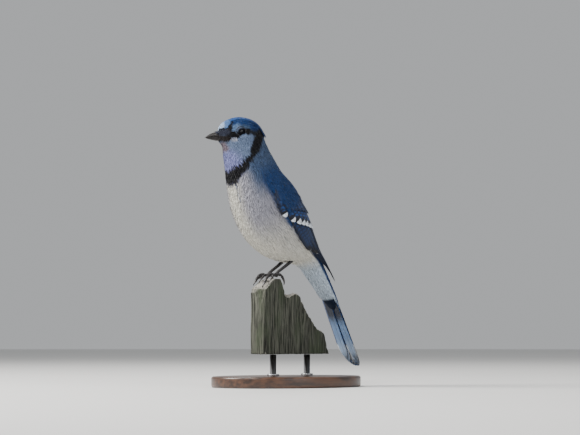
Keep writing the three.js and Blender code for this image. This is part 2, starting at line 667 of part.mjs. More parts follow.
const BLUE = 0x4a6ea8;
const PALE = 0xb9bcc4;
const HORN = 0x23201f;
addNode(jay, "head", makeHead(), BLUE, 0.8);
addNode(jay, "neck", bodyStretch(HEAD_END + CUT, NECK_END - CUT, 2), PALE, 0.85);
addNode(jay, "torso", bodyStretch(NECK_END + CUT, TORSO_END - CUT, 1.6), PALE, 0.85);
addNode(jay, "tail", makeTail(), BLUE, 0.7);
for (const [word, side] of [["left", 1], ["right", -1]]) {
  addNode(jay, `wing_${word}`, makeWing(side), BLUE, 0.7);
  addNode(jay, `eye_${word}`, ball(headPoint(0, side * EYE_OFFSET, 0), EYE_RADIUS), 0x120c0a, 0.1);
  addNode(jay, `leg_${word}`, largest(shank(side).subtract(swollenBody)), HORN, 0.6);
  addNode(jay, `foot_${word}`, makeFoot(side), HORN, 0.6);
}
const upperBill = billHalf(true).subtract(nostril(1)).subtract(nostril(-1));
addNode(jay, "bill_upper", largest(upperBill), HORN, 0.35);
addNode(jay, "bill_lower", billHalf(false), HORN, 0.35);

const picket = new THREE.Group();
picket.rotation.z = PICKET_TURN;
picket.position.y = PICKET_SHIFT;
jay.add(picket);
addNode(picket, "perch", makePerch(), 0x6d6a5c, 0.95);
addNode(picket, "stand_rod_front", makeRod(-1), 0x8d8d8d, 0.35, 1);
addNode(picket, "stand_rod_rear", makeRod(1), 0x8d8d8d, 0.35, 1);
addNode(group, "stand_base", makeBase(), 0x3a2a20, 0.5);

export default group;
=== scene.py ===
# %% [markdown]
# # A life-size blue jay on the worn top of a fence picket
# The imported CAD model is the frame: it fixes where the jay, its perch and its stand are, and how big.
# Blender adds what a CAD solid can't hold: a soft coat, fine vanes, horn, scales, old wood.
# Lengths below are in millimetres, measured from the grip, the place on the picket that the feet
# hold, with the jay heading towards -X. They turn into metres only where a mesh is made.

# %% Load the frame
import math

import bmesh
import bpy
import numpy as np
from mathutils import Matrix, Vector


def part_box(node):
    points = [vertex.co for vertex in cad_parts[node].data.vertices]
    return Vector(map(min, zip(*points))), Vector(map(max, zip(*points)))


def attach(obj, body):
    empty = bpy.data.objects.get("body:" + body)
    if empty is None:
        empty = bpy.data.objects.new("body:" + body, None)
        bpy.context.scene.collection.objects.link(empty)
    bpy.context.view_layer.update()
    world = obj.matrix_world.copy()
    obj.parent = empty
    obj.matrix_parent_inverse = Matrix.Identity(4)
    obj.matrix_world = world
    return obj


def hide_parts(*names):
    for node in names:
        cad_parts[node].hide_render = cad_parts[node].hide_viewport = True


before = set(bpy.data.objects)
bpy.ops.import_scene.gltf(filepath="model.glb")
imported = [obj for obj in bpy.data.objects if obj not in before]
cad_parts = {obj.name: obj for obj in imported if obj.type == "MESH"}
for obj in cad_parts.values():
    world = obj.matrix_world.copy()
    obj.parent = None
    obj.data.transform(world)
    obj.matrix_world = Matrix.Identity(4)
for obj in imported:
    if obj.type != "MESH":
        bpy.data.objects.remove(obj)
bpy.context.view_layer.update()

MM = 0.001
GRIP = np.array([-15.0, 0.0, 100.0])
rng = np.random.default_rng(11)


# %% [markdown]
# ## Camera
# The photo was taken from a little below the jay, well to the front of its left side. A long lens
# keeps the body's proportions flat, as in the photo. The camera looks at a point that puts the grip
# on the pixel where the photo shows it, so no lens shift is needed.

# %% Camera
PHOTO_WIDTH, PHOTO_HEIGHT = 580, 435
GRIP_PIXEL = (273.5, 278.0)
JAY_MM_PER_PIXEL = 0.92
CAMERA_DISTANCE = 1600.0
CAMERA_AZIMUTH = math.radians(-35)
CAMERA_ELEVATION = math.radians(-4)
SENSOR_MM = 36.0


def towards(azimuth, elevation):
    """The way out from the jay: azimuth 0 is its left side, and -90 its front."""
    flat = math.cos(elevation)
    return np.array([math.sin(azimuth) * flat, -math.cos(azimuth) * flat, math.sin(elevation)])


to_camera = towards(CAMERA_AZIMUTH, CAMERA_ELEVATION)
photo_right = np.array([math.cos(CAMERA_AZIMUTH), math.sin(CAMERA_AZIMUTH), 0.0])
photo_up = np.cross(to_camera, photo_right)
aim = (
    GRIP
    + photo_right * (PHOTO_WIDTH / 2 - GRIP_PIXEL[0]) * JAY_MM_PER_PIXEL
    + photo_up * (GRIP_PIXEL[1] - PHOTO_HEIGHT / 2) * JAY_MM_PER_PIXEL
)

camera_data = bpy.data.cameras.new("photo_camera")
camera_data.sensor_width = SENSOR_MM
camera_data.lens = SENSOR_MM * CAMERA_DISTANCE / (PHOTO_WIDTH * JAY_MM_PER_PIXEL)
camera = bpy.data.objects.new("photo_camera", camera_data)
camera.location = Vector((aim + to_camera * CAMERA_DISTANCE) * MM)
camera.rotation_euler = Vector(-to_camera).to_track_quat("-Z", "Y").to_euler()
bpy.context.collection.objects.link(camera)
bpy.context.scene.camera = camera
print("lens", round(camera_data.lens, 1), "mm, camera height", round(camera.location.z, 3), "m")


# %% [markdown]
# ## The body's form
# A jay at rest is one smooth form from bill to tail. Sculpting would do, but a loft has a second use:
# every place on it has a station along the body and an angle round it, and those two numbers are
# where a feather grows, which way it lies and which marking it wears. The sections are the CAD's.

# %% Body sections
# back x, back z, front x, front z, half width, power of the outline
SECTIONS = {
    "bill_root": (-55.7, 134.2, -55.7, 125.6, 4.9, 2.2),
    "forehead": (-54.6, 137.6, -54.9, 124.2, 6.8, 2.1),
    "brow": (-51.8, 141.2, -53.9, 122.9, 8.8, 2.1),
    "fore_crown": (-45.2, 145.0, -52.6, 121.4, 11.4, 2.1),
    "crown": (-36.1, 146.7, -51.7, 119.8, 13.1, 2.1),
    "hind_crown": (-26.3, 144.8, -51.1, 117.4, 14.2, 2.1),
    "crest_root": (-18.7, 139.4, -51.0, 114.4, 15.4, 2.1),
    "nape": (-14.4, 131.2, -50.9, 110.6, 17.2, 2.05),
    "neck": (-11.6, 123.6, -50.4, 106.0, 19.0, 2.0),
    "low_neck": (-8.2, 116.2, -49.6, 99.8, 20.8, 2.0),
    "collar": (-3.2, 107.6, -48.2, 88.6, 23.2, 2.0),
    "shoulder": (2.6, 98.4, -45.6, 74.6, 25.2, 2.05),
    "mantle": (10.2, 89.4, -41.4, 59.4, 26.8, 2.1),
    "breast": (16.6, 80.6, -34.4, 45.6, 27.6, 2.1),
    "back": (22.4, 71.6, -25.5, 33.6, 27.4, 2.1),
    "belly": (27.8, 62.6, -14.7, 24.6, 26.2, 2.1),
    "low_back": (32.6, 53.2, -4.5, 18.8, 24.0, 2.05),
    "flank": (36.8, 44.2, 5.5, 15.8, 21.4, 2.0),
    "rump": (41.0, 34.8, 14.5, 14.4, 18.4, 2.0),
    "vent": (46.3, 25.4, 23.0, 13.4, 15.2, 2.0),
    "tail_root": (52.2, 15.6, 31.5, 10.2, 12.8, 2.0),
    "coverts": (57.6, 6.0, 39.2, 1.5, 11.4, 2.0),
    "low_coverts": (62.8, -4.0, 47.6, -8.0, 10.6, 2.0),
    "thin_coverts": (68.4, -15.4, 57.4, -20.0, 9.8, 2.0),
    "covert_tips": (73.0, -26.6, 66.8, -29.0, 7.8, 2.0),
}
STATIONS = list(SECTIONS)
LAST = len(STATIONS) - 1
TABLE = np.array(list(SECTIONS.values()))
BACKS = TABLE[:, [0, 4, 1]]
FRONTS = TABLE[:, [2, 5, 3]]
HEAD_YAW = math.radians(25)
NECK_PIVOT_X = -24.1
TWIST_FROM, TWIST_TO = 86.0, 124.0  # heights between which the neck turns
print(len(STATIONS), "sections from", STATIONS[0], "to", STATIONS[-1])


# %% The loft through the sections
NORMAL_STEP, NORMAL_TURN = 0.06, 1.5  # how far from a place its neighbours are taken


def smoothstep(low, high, value):
    share = np.clip((value - low) / (high - low), 0, 1)
    return share * share * (3 - 2 * share)


def through(table, place):
    """A centripetal Catmull-Rom curve through the rows of a table, at places along it."""
    table = np.vstack([2 * table[0] - table[1], table, 2 * table[-1] - table[-2]])
    place = np.clip(place, 0, len(table) - 3)
    row = np.minimum(place.astype(int), len(table) - 4)
    t = (place - row)[..., None]
    a, b, c, d = table[row], table[row + 1], table[row + 2], table[row + 3]
    ab, bc, cd = (np.sum((p - q) ** 2, -1, keepdims=True) ** 0.25 for p, q in ((a, b), (b, c), (c, d)))
    leave = ((b - a) / ab - (c - a) / (ab + bc) + (c - b) / bc) * bc
    arrive = ((c - b) / bc - (d - b) / (bc + cd) + (d - c) / cd) * bc
    return ((2 * b - 2 * c + leave + arrive) * t + 3 * (c - b) - 2 * leave - arrive) * t * t + leave * t + b


def twist(points):
    """Turns points of the straight jay with its head, which looks to its right."""
    angle = -HEAD_YAW * smoothstep(TWIST_FROM, TWIST_TO, points[..., 2])
    x, y = points[..., 0] - NECK_PIVOT_X, points[..., 1]
    turned = [NECK_PIVOT_X + x * np.cos(angle) - y * np.sin(angle), x * np.sin(angle) + y * np.cos(angle)]
    return np.stack([*turned, points[..., 2]], -1)


def straight(along, degrees):
    """The body's surface before the head turns: 0 degrees is the back, 90 the left, 180 the front."""
    back, front = through(BACKS, along), through(FRONTS, along)
    angle = np.radians(degrees)
    bend = lambda value: np.sign(value) * np.abs(value) ** (2 / front[..., 1])
    across, up = bend(np.sin(angle)), bend(np.cos(angle))
    x = (back[..., 0] + front[..., 0]) / 2 + (back[..., 0] - front[..., 0]) / 2 * up
    z = (back[..., 2] + front[..., 2]) / 2 + (back[..., 2] - front[..., 2]) / 2 * up
    return np.stack([x, -back[..., 1] * across, z], -1)


def unit(vectors):
    return vectors / np.maximum(np.linalg.norm(vectors, axis=-1, keepdims=True), 1e-9)


def surface(along, degrees):
    """Points of the body, and the normals there."""
    along, degrees = np.broadcast_arrays(np.asarray(along, float), np.asarray(degrees, float))
    points = twist(straight(along, degrees))
    low, high = np.clip(along - NORMAL_STEP, 0, LAST), np.clip(along + NORMAL_STEP, 0, LAST)
    tailward = twist(straight(high, degrees)) - twist(straight(low, degrees))
    around = twist(straight(along, degrees + NORMAL_TURN)) - twist(straight(along, degrees - NORMAL_TURN))
    return points, unit(np.cross(around, tailward))


def lifted(place):
    """Points of the body raised along its normals, from rows of [station, angle, lift]."""
    points, normals = surface(place[..., 0], place[..., 1])
    return points + normals * place[..., 2:3], normals


def from_back(degrees):
    """Degrees away from the middle of the back, the same for left and right."""
    return np.abs((degrees + 180) % 360 - 180)


breast_point, _ = surface(13.0, 180.0)
print("middle of the breast, from the grip:", np.round(breast_point, 1).tolist())


# %% [markdown]
# ## Meshes and feathers
# A feather is a thin blade: wide in the middle, round at the tip, arched across, with a stiff shaft.
# A jay has thousands, so one function builds any number of them at once as arrays, joined in one
# mesh. Each vertex remembers where it sits on its feather, and the materials read that to draw the
# barbs, the bars and the white tips.

# %% Mesh helpers
def new_object(name, points, loops, sizes, material, smooth=True):
    """A mesh from millimetre points, with the faces as one run of corners and a list of their sizes."""
    mesh = bpy.data.meshes.new(name)
    mesh.vertices.add(len(points))
    mesh.vertices.foreach_set("co", ((np.asarray(points) + GRIP) * MM).ravel())
    mesh.loops.add(len(loops))
    mesh.loops.foreach_set("vertex_index", np.asarray(loops, int))
    mesh.polygons.add(len(sizes))
    sizes = np.asarray(sizes, int)
    mesh.polygons.foreach_set("loop_start", np.concatenate([[0], np.cumsum(sizes)[:-1]]))
    mesh.update(calc_edges=True)
    mesh.validate()
    if smooth:
        mesh.shade_smooth()
    mesh.materials.append(material)
    return linked(name, mesh)


def linked(name, data):
    """A new object in the scene that shows the data."""
    piece = bpy.data.objects.new(name, data)
    bpy.context.collection.objects.link(piece)
    return piece


def settle(piece, slot, *replaced):
    """Tells the frame which solids a piece replaces and which body carries it. The slot is not used."""
    if replaced:
        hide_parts(*replaced)
    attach(piece, "root")


def give(piece, name, values):
    """A vector attribute with one value for each vertex."""
    attribute = piece.data.attributes.new(name, "FLOAT_VECTOR", "POINT")
    attribute.data.foreach_set("vector", np.asarray(values, float).ravel())


def give_uv(piece, values):
    """The map that the export bakes to, from one place for each vertex."""
    corners = np.empty(len(piece.data.loops), int)
    piece.data.loops.foreach_get("vertex_index", corners)
    layer = piece.data.uv_layers.new(name="OFBake")
    layer.uv.foreach_set("vector", np.asarray(values, float)[corners].ravel())


# %% Tubes and joins
def ring_faces(rings, count):
    """Corners and sizes of the faces that join rings of points into a tube closed at both ends."""
    ring, place = np.meshgrid(np.arange(rings - 1), np.arange(count), indexing="ij")
    after = (place + 1) % count
    quads = np.stack([
        ring * count + place, (ring + 1) * count + place, (ring + 1) * count + after, ring * count + after,
    ], -1).reshape(-1, 4)
    ends = np.concatenate([np.arange(count), (rings - 1) * count + np.arange(count)[::-1]])
    return np.concatenate([quads.ravel(), ends]), np.array([4] * len(quads) + [count, count])


def tube(name, centres, radii, material, sides=12, squash=1.0, up=(0, 0, 1)):
    """A closed tube of changing radius through points."""
    centres, radii = np.asarray(centres, float), np.asarray(radii, float)
    along = unit(np.gradient(centres, axis=0))
    across = unit(np.cross(np.asarray(up, float), along))
    over = np.cross(along, across)
    turn = np.linspace(0, 2 * math.pi, sides, endpoint=False)
    rings = (
        centres[:, None]
        + across[:, None] * (radii[:, None] * np.cos(turn))[..., None]
        + over[:, None] * (squash * radii[:, None] * np.sin(turn))[..., None]
    )
    loops, sizes = ring_faces(len(centres), sides)
    return new_object(name, rings.reshape(-1, 3), loops, sizes, material)


def join(name, pieces):
    """Several objects as one mesh."""
    whole = bmesh.new()
    materials = []
    for piece in pieces:
        if piece.data.materials[0] not in materials:
            materials.append(piece.data.materials[0])
        start = len(whole.faces)
        whole.from_mesh(piece.data)
        whole.faces.ensure_lookup_table()
        for face in whole.faces[start:]:
            face.material_index = materials.index(piece.data.materials[0])
    mesh = bpy.data.meshes.new(name)
    whole.to_mesh(mesh)
    whole.free()
    for material in materials:
        mesh.materials.append(material)
    for piece in pieces:
        old = piece.data
        bpy.data.objects.remove(piece)
        bpy.data.meshes.remove(old)
    return linked(name, mesh)


# %% Feather builder
NARROW = np.array([-1.0, 0.0, 1.0])  # places across a small feather, from edge to edge
WIDE = np.array([-1.0, -0.62, -0.26, -0.07, 0.0, 0.07, 0.26, 0.62, 1.0])  # across a large one


BAKE_PATCH = 0.003  # how much of the skin's unwrap one small feather gets


def bake_places(inside, top, bake):
    """Places on the bake map. A small feather has a patch at its root's place on the skin's unwrap. A
    large one has a cell of its own, with its two sides next to each other."""
    if bake is not None:
        return bake[:, None, None] + inside * BAKE_PATCH
    index = np.arange(len(inside))
    columns = math.ceil(math.sqrt(len(inside)))
    corner = np.stack([index % columns, index // columns], -1)
    folded = inside * [0.46, 0.94] + np.where(top > 0, [0.02, 0.03], [0.52, 0.03])
    return (corner[:, None, None] + folded) / columns


def feathers(name, centres, normals, half, material, across=NARROW, thickness=0.24, shaft=0.0,
             droop=18.0, tip=0.4, root=0.5, inner=1.0, fray=0.0, tint=None, traits=None, bake=None):
    """Many feathers in one mesh. centres and normals are arrays of feather, row, axis. half is the half
    width, tip and root shape the outline, inner narrows one side, droop is the arch's radius, and tint,
    traits and bake have one row for each feather."""
    count, rows, _ = centres.shape
    half = np.broadcast_to(np.asarray(half, float), (count,))
    share = np.linspace(0, 1, rows)
    to_tip = np.clip((1 - share) / tip, 0, 1)
    outline = (root + (1 - root) * smoothstep(0, 0.5, share)) * np.sqrt(1 - (1 - to_tip) ** 2 * 0.985)
    width = half[:, None] * outline
    if fray:
        width = width * (1 - fray * rng.random(width.shape) * smoothstep(0.1, 0.5, share))

    along = unit(np.gradient(centres, axis=1))
    normal = unit(normals - along * np.sum(normals * along, -1, keepdims=True))
    side = np.cross(normal, along)
    under = across[1:-1][::-1]
    places = np.concatenate([across, under])
    top = np.concatenate([np.ones(len(across)), np.zeros(len(under))])
    reach = width[..., None] * places * np.where(places < 0, inner, 1.0)
    body = thickness * (1 - places**2) * np.where(top > 0, 0.5, -0.5)
    body = body + shaft * np.maximum(0, 1 - np.abs(places) / 0.12) * np.where(top > 0, 1, -0.8)
    height = body * (1 - 0.6 * share[:, None]) - reach**2 / (2 * np.asarray(droop))
    points = centres[:, :, None] + side[:, :, None] * reach[..., None]
    points = points + normal[:, :, None] * height[..., None]

    ring = len(places)
    loops, sizes = ring_faces(rows, ring)
    starts = np.arange(count) * rows * ring
    piece = new_object(
        name, points.reshape(-1, 3), (loops[None] + starts[:, None]).ravel(), np.tile(sizes, count), material,
    )
    length = np.sum(np.linalg.norm(np.diff(centres, axis=1), axis=-1), axis=1)
    everywhere = lambda value: np.broadcast_to(value, (count, rows, ring))
    down = share[None, :, None]
    chance = rng.random(count)[:, None, None]
    give(piece, "barb", np.stack([reach, everywhere(down * length[:, None, None]), everywhere(chance)], -1))
    spot = np.stack([everywhere(places), everywhere(down), everywhere(top)], -1)
    give(piece, "vane", spot)
    for word, values in (("tint", tint), ("traits", traits)):
        if values is not None:
            give(piece, word, np.broadcast_to(values[:, None, None], spot.shape))
    inside = np.stack([(spot[..., 0] + 1) / 2, spot[..., 1]], -1)
    give_uv(piece, bake_places(inside, spot[..., 2:], bake).reshape(-1, 2))
    return piece


def rows_between(start, end, rows, arch=0.0):
    """Rows of [station, angle, lift] from each root to each tip, with the lift arched between."""
    share = np.linspace(0, 1, rows)[None, :, None]
    place = start[:, None] * (1 - share) + end[:, None] * share
    place[..., 2] += arch * np.sin(math.pi * share[..., 0])
    return place


def skin_uv(along, degrees):
    """A place on the skin's unwrap: round the body across, along it up."""
    return np.stack([0.01 + 0.97 * (np.mod(degrees, 360) / 360), 0.01 + 0.97 * along / LAST], -1)


# %% [markdown]
# ## Materials
# Every finish is built from nodes. A small class keeps the graphs readable: one short call for each
# node. Bumps and patterns use millimetres, so they keep the right scale on every piece.

# %% Node graph helper
class Nodes:
    """Short calls that add nodes to a tree."""

    def __init__(self, tree):
        self.tree = tree

    def put(self, socket, value):
        if isinstance(value, bpy.types.NodeSocket):
            self.tree.links.new(value, socket)
        else:
            socket.default_value = value

    def node(self, kind, inputs=(), **settings):
        node = self.tree.nodes.new(kind)
        for name, value in settings.items():
            setattr(node, name, value)
        for place, value in dict(inputs).items():
            self.put(node.inputs[place], value)
        return node

    def math(self, operation, a, b=0.0):
        return self.node("ShaderNodeMath", {0: a, 1: b}, operation=operation).outputs[0]

    def times(self, a, b):
        return self.math("MULTIPLY", a, b)

    def plus(self, a, b):
        return self.math("ADD", a, b)

    def minus(self, a, b):
        return self.math("SUBTRACT", a, b)

    def parts(self, vector):
        return self.node("ShaderNodeSeparateXYZ", {0: vector}).outputs


# %% A material's nodes
class Graph(Nodes):
    """A material and its nodes."""

    def __init__(self, name, **surface):
        self.material = bpy.data.materials.new(name)
        self.material.use_nodes = True
        super().__init__(self.material.node_tree)
        self.shader = self.tree.nodes["Principled BSDF"]
        for socket, value in surface.items():
            self.shader.inputs[socket.replace("_", " ")].default_value = value

    def step(self, low, high, value, out=(0.0, 1.0)):
        inputs = {0: value, 1: low, 2: high, 3: out[0], 4: out[1]}
        return self.node("ShaderNodeMapRange", inputs, interpolation_type="SMOOTHSTEP").outputs[0]

    def mix(self, share, a, b, blend="MIX"):
        pad = lambda value: (*value, 1.0) if isinstance(value, tuple) and len(value) == 3 else value
        inputs = {0: share, 6: pad(a), 7: pad(b)}
        return self.node("ShaderNodeMix", inputs, data_type="RGBA", blend_type=blend).outputs[2]

    def attribute(self, name):
        return self.node("ShaderNodeAttribute", attribute_name=name).outputs["Vector"]

    def vector(self, x, y, z=0.0):
        return self.node("ShaderNodeCombineXYZ", {0: x, 1: y, 2: z}).outputs[0]

    def place(self, stretch=(1000.0, 1000.0, 1000.0), turn=(0.0, 0.0, 0.0)):
        """Object coordinates, in millimetres unless stretched otherwise."""
        source = self.node("ShaderNodeTexCoord").outputs["Object"]
        return self.node("ShaderNodeMapping", {0: source, 2: turn, 3: stretch}).outputs[0]

    def noise(self, vector, scale, detail=3.0, rough=0.55):
        inputs = {"Vector": vector, "Scale": scale, "Detail": detail, "Roughness": rough}
        return self.node("ShaderNodeTexNoise", inputs).outputs[0]

    def shaded(self, colour, shade):
        return self.mix(1.0, colour, self.vector(shade, shade, shade), "MULTIPLY")

    def finish(self, colour, rough=None, height=None, depth=0.1):
        """Depth is the height's full swing in millimetres."""
        self.put(self.shader.inputs["Base Color"], colour)
        if rough is not None:
            self.put(self.shader.inputs["Roughness"], rough)
        if height is not None:
            bump = self.node("ShaderNodeBump", {"Height": height, "Distance": depth * MM, "Strength": 1.0})
            self.put(self.shader.inputs["Normal"], bump.outputs[0])
        return self.material


def rgb(red, green, blue):
    """Display values from 0 to 255 as the linear colour that a shader takes."""
    linear = lambda v: ((v / 255 + 0.055) / 1.055) ** 2.4 if v > 10 else v / 255 / 12.92
    return linear(red), linear(green), linear(blue)


# %% [markdown]
# ### Plumage
# The small feathers' colour is a marking of the body, so it comes from each feather's own tint. Barbs
# run out from the shaft at a slant, too fine to model: a bump and a slight streak of shade show them.

# %% Small feathers and skin
def barb_lines(graph, pitch, slant):
    """Fine lines that run out and forward from the shaft, as the barbs do."""
    across, along, feather = graph.parts(graph.attribute("barb"))
    out = graph.math("ABSOLUTE", across)
    lean = graph.minus(along, graph.times(out, slant))
    wave = graph.math("SINE", graph.times(lean, 2 * math.pi / pitch))
    return graph.step(-1.0, 1.0, wave), feather


def plumage_material():
    graph = Graph("small_feathers", Roughness=0.8, Sheen_Weight=0.08, Sheen_Roughness=0.4,
                  Specular_IOR_Level=0.14)
    lines, feather = barb_lines(graph, 0.55, 1.6)
    cloud = graph.noise(graph.place(), 0.22, 4.0)
    shade = graph.plus(graph.step(0.3, 0.7, cloud, (0.9, 1.06)), graph.step(0, 1, feather, (-0.05, 0.05)))
    shade = graph.times(shade, graph.step(0, 1, lines, (0.9, 1.05)))
    return graph.finish(graph.shaded(graph.attribute("tint"), shade), None, lines, 0.03)


def skin_material():
    graph = Graph("skin_under_feathers", Roughness=0.9, Specular_IOR_Level=0.1)
    cloud = graph.noise(graph.place(), 0.9, 5.0)
    shade = graph.step(0.3, 0.7, cloud, (0.85, 1.0))
    return graph.finish(graph.shaded(graph.attribute("tint"), shade), None, cloud, 0.3)


SMALL_FEATHERS = plumage_material()
SKIN = skin_material()
print("materials:", SMALL_FEATHERS.name, "and", SKIN.name)


# %% What all large feathers share
BLUE_VANE = rgb(26, 70, 132)
DEEP_VANE = rgb(10, 26, 54)
BLACK_VANE = rgb(14, 15, 22)
WHITE_VANE = rgb(226, 232, 240)
GREY_VANE = rgb(96, 104, 118)
TAIL_SHAFT = rgb(40, 44, 54)
BARB_SLANT, BARB_DEPTH = 1.2, 0.09
UNDER_BASE, UNDER_MIDDLE, UNDER_TIP = rgb(20, 27, 44), rgb(98, 126, 164), rgb(140, 162, 190)
UNDER_BLUE = rgb(26, 68, 124)


class Vane(Graph):
    """A large feather's material: barbs, edges that wobble, and black bars. Its traits are how barred
    it is, where its white tip starts, and a third that the wing and the tail use differently."""

    def __init__(self, name, pitch, lean, bar_length, bar_wobble, bar_edge, wobble_scale):
        super().__init__(name, Roughness=0.5, Sheen_Weight=0.06, Specular_IOR_Level=0.25)
        self.lines, self.feather = barb_lines(self, pitch, BARB_SLANT)
        across, along, _ = self.parts(self.attribute("barb"))
        self.across, self.share, self.top = self.parts(self.attribute("vane"))
        barred, self.tip_start, self.trait = self.parts(self.attribute("traits"))
        self.wobble = self.noise(self.place(), wobble_scale, 3.0)
        slanted = self.minus(along, self.times(self.math("ABSOLUTE", across), lean))
        phase = self.plus(self.times(slanted, 2 * math.pi / bar_length), self.times(self.wobble, bar_wobble))
        self.bar = self.times(self.step(*bar_edge, self.math("SINE", phase)), barred)

    def frayed(self, amount):
        """How far along the feather a place is, made uneven."""
        return self.plus(self.share, self.times(self.minus(self.wobble, 0.5), amount))

    def with_shaft(self, colour, shaft, strength):
        line = self.step(0.09, 0.03, self.math("ABSOLUTE", self.across))
        return self.mix(self.times(line, strength), colour, shaft)

    def feathered(self, colour, barb_shade, feather_shade, rough):
        """Streaks the colour with the barbs, a little differently on each feather."""
        barbs, each = self.step(0, 1, self.lines, barb_shade), self.step(0, 1, self.feather, feather_shade)
        colour = self.shaded(colour, self.times(barbs, each))
        return self.finish(colour, self.step(0, 1, self.lines, rough), self.lines, BARB_DEPTH)


# %% Wing and tail feathers
def wing_material():
    """Blue above, with a white tip behind a black band. The third trait is how dark the vane is."""
    vane = Vane("wing_feathers", 0.7, 0.45, 3.4, 1.6, (0.35, 0.72), 0.5)
    colour = vane.mix(vane.step(-0.55, 0.1, vane.across), DEEP_VANE, BLUE_VANE)
    colour = vane.mix(vane.times(vane.trait, 0.8), colour, DEEP_VANE)
    colour = vane.mix(vane.bar, colour, BLACK_VANE)
    past = vane.minus(vane.frayed(0.05), vane.tip_start)
    band = vane.times(vane.step(-0.15, -0.1, past), vane.step(0.012, -0.004, past))
    colour = vane.mix(vane.times(band, 0.95), colour, BLACK_VANE)
    colour = vane.mix(vane.step(0.0, 0.02, past), colour, WHITE_VANE)
    colour = vane.with_shaft(colour, BLACK_VANE, 0.75)
    colour = vane.mix(vane.step(0.6, 0.4, vane.top), colour, GREY_VANE)
    return vane.feathered(colour, (0.86, 1.06), (0.9, 1.08), (0.42, 0.6))


def tail_material():
    """Barred blue above, and below dark at the base and pale towards the tip. The third trait is how
    far out in the tail the feather lies."""
    vane = Vane("tail_feathers", 0.8, 0.4, 4.6, 1.8, (0.4, 0.75), 0.4)
    above = vane.mix(vane.bar, BLUE_VANE, BLACK_VANE)
    above = vane.mix(vane.step(0.0, 0.03, vane.minus(vane.share, vane.tip_start)), above, WHITE_VANE)
    reach = vane.frayed(0.08)
    below = vane.mix(vane.step(0.50, 0.66, reach), UNDER_BASE, UNDER_MIDDLE)
    below = vane.mix(vane.step(0.72, 0.94, reach), below, UNDER_TIP)
    spot = vane.times(vane.step(0.915, 0.94, reach), vane.step(0.99, 0.965, reach))
    below = vane.mix(vane.times(spot, 0.25), below, BLACK_VANE)
    inner = vane.mix(vane.bar, UNDER_BLUE, BLACK_VANE)
    below = vane.mix(vane.step(0.5, 0.85, vane.trait), inner, below)
    colour = vane.mix(vane.step(0.4, 0.6, vane.top), below, above)
    colour = vane.with_shaft(colour, TAIL_SHAFT, 0.5)
    return vane.feathered(colour, (0.88, 1.05), (0.92, 1.06), (0.45, 0.6))


WING_VANES = wing_material()
TAIL_VANES = tail_material()
print("materials:", WING_VANES.name, "and", TAIL_VANES.name)


# %% [markdown]
# ## Markings
# A blue jay wears a blue crown, a pale brow and face, a black line through the eye, a black necklace,
# a grey breast, a white belly and a blue back. The skin and every small feather take their tint from
# this one function, so the two always agree, and ragged edges come from a little scatter in the
# places that the feathers ask about.

# %% Colours and the necklace
EYE_X, EYE_Z = -36.1, 132.4
NECKLACE_ANGLES = np.array([0, 30, 50, 60, 70, 80, 90, 104, 124, 142, 160, 180])
NECKLACE_OUTER = np.array([7.2, 7.35, 8.15, 8.4, 8.6, 8.8, 8.95, 9.15, 9.5, 9.8, 10.25, 10.35])
NECKLACE_INNER = np.array([6.6, 6.2, 6.3, 6.7, 7.2, 7.6, 8.2, 8.5, 8.85, 8.95, 9.0, 9.25])

CROWN = rgb(26, 64, 118)
CROWN_BACK = rgb(22, 50, 96)
FOREHEAD = rgb(170, 192, 220)
FORE_BLUE = rgb(92, 128, 180)
BROW = rgb(98, 126, 166)
DULL_BROW = rgb(66, 88, 118)
# the cheek's pale grey, darkened with painted shade
SHADED_CHEEK = rgb(98, 114, 142)
PALE_LORE = rgb(168, 170, 184)
# the throat's pale violet grey, darkened with painted shade
SHADED_THROAT = rgb(116, 120, 168)
BLACK = rgb(8, 8, 14)
GAPE = rgb(30, 25, 26)
SIDE_NECK = rgb(66, 84, 114)
MANTLE = rgb(26, 56, 102)
BREAST = rgb(142, 142, 156)
# the belly's white, a little dimmed with painted shade and warmed with a painted yellow-green reflection
BELLY = rgb(206, 203, 192)
# the white under the tail, dimmed about halfway with painted shade
SHADED_UNDERTAIL = rgb(182, 196, 210)
TAIL_BASE = rgb(24, 32, 50)
COVERTS_END = 22.95  # where the white under the tail gives way to the dark tail feathers
NASAL = rgb(40, 44, 60)
CHIN = rgb(116, 98, 102)
print("necklace from station", NECKLACE_INNER[-1], "to", NECKLACE_OUTER[-1], "on the breast")


# %% Markings of the body
def blend(base, colour, share):
    return base * (1 - share[:, None]) + np.asarray(colour) * share[:, None]


def near_line(x, z, start, end, width, soft=0.6):
    """How much a place lies on a line of the head's side, given as forward and up from the eye."""
    start, end = np.array(start, float), np.array(end, float)
    run = end - start
    t = np.clip(((x - start[0]) * run[0] + (z - start[1]) * run[1]) / np.sum(run**2), 0, 1)
    distance = np.hypot(x - start[0] - t * run[0], z - start[1] - t * run[1])
    return 1 - smoothstep(width - soft, width + soft, distance)


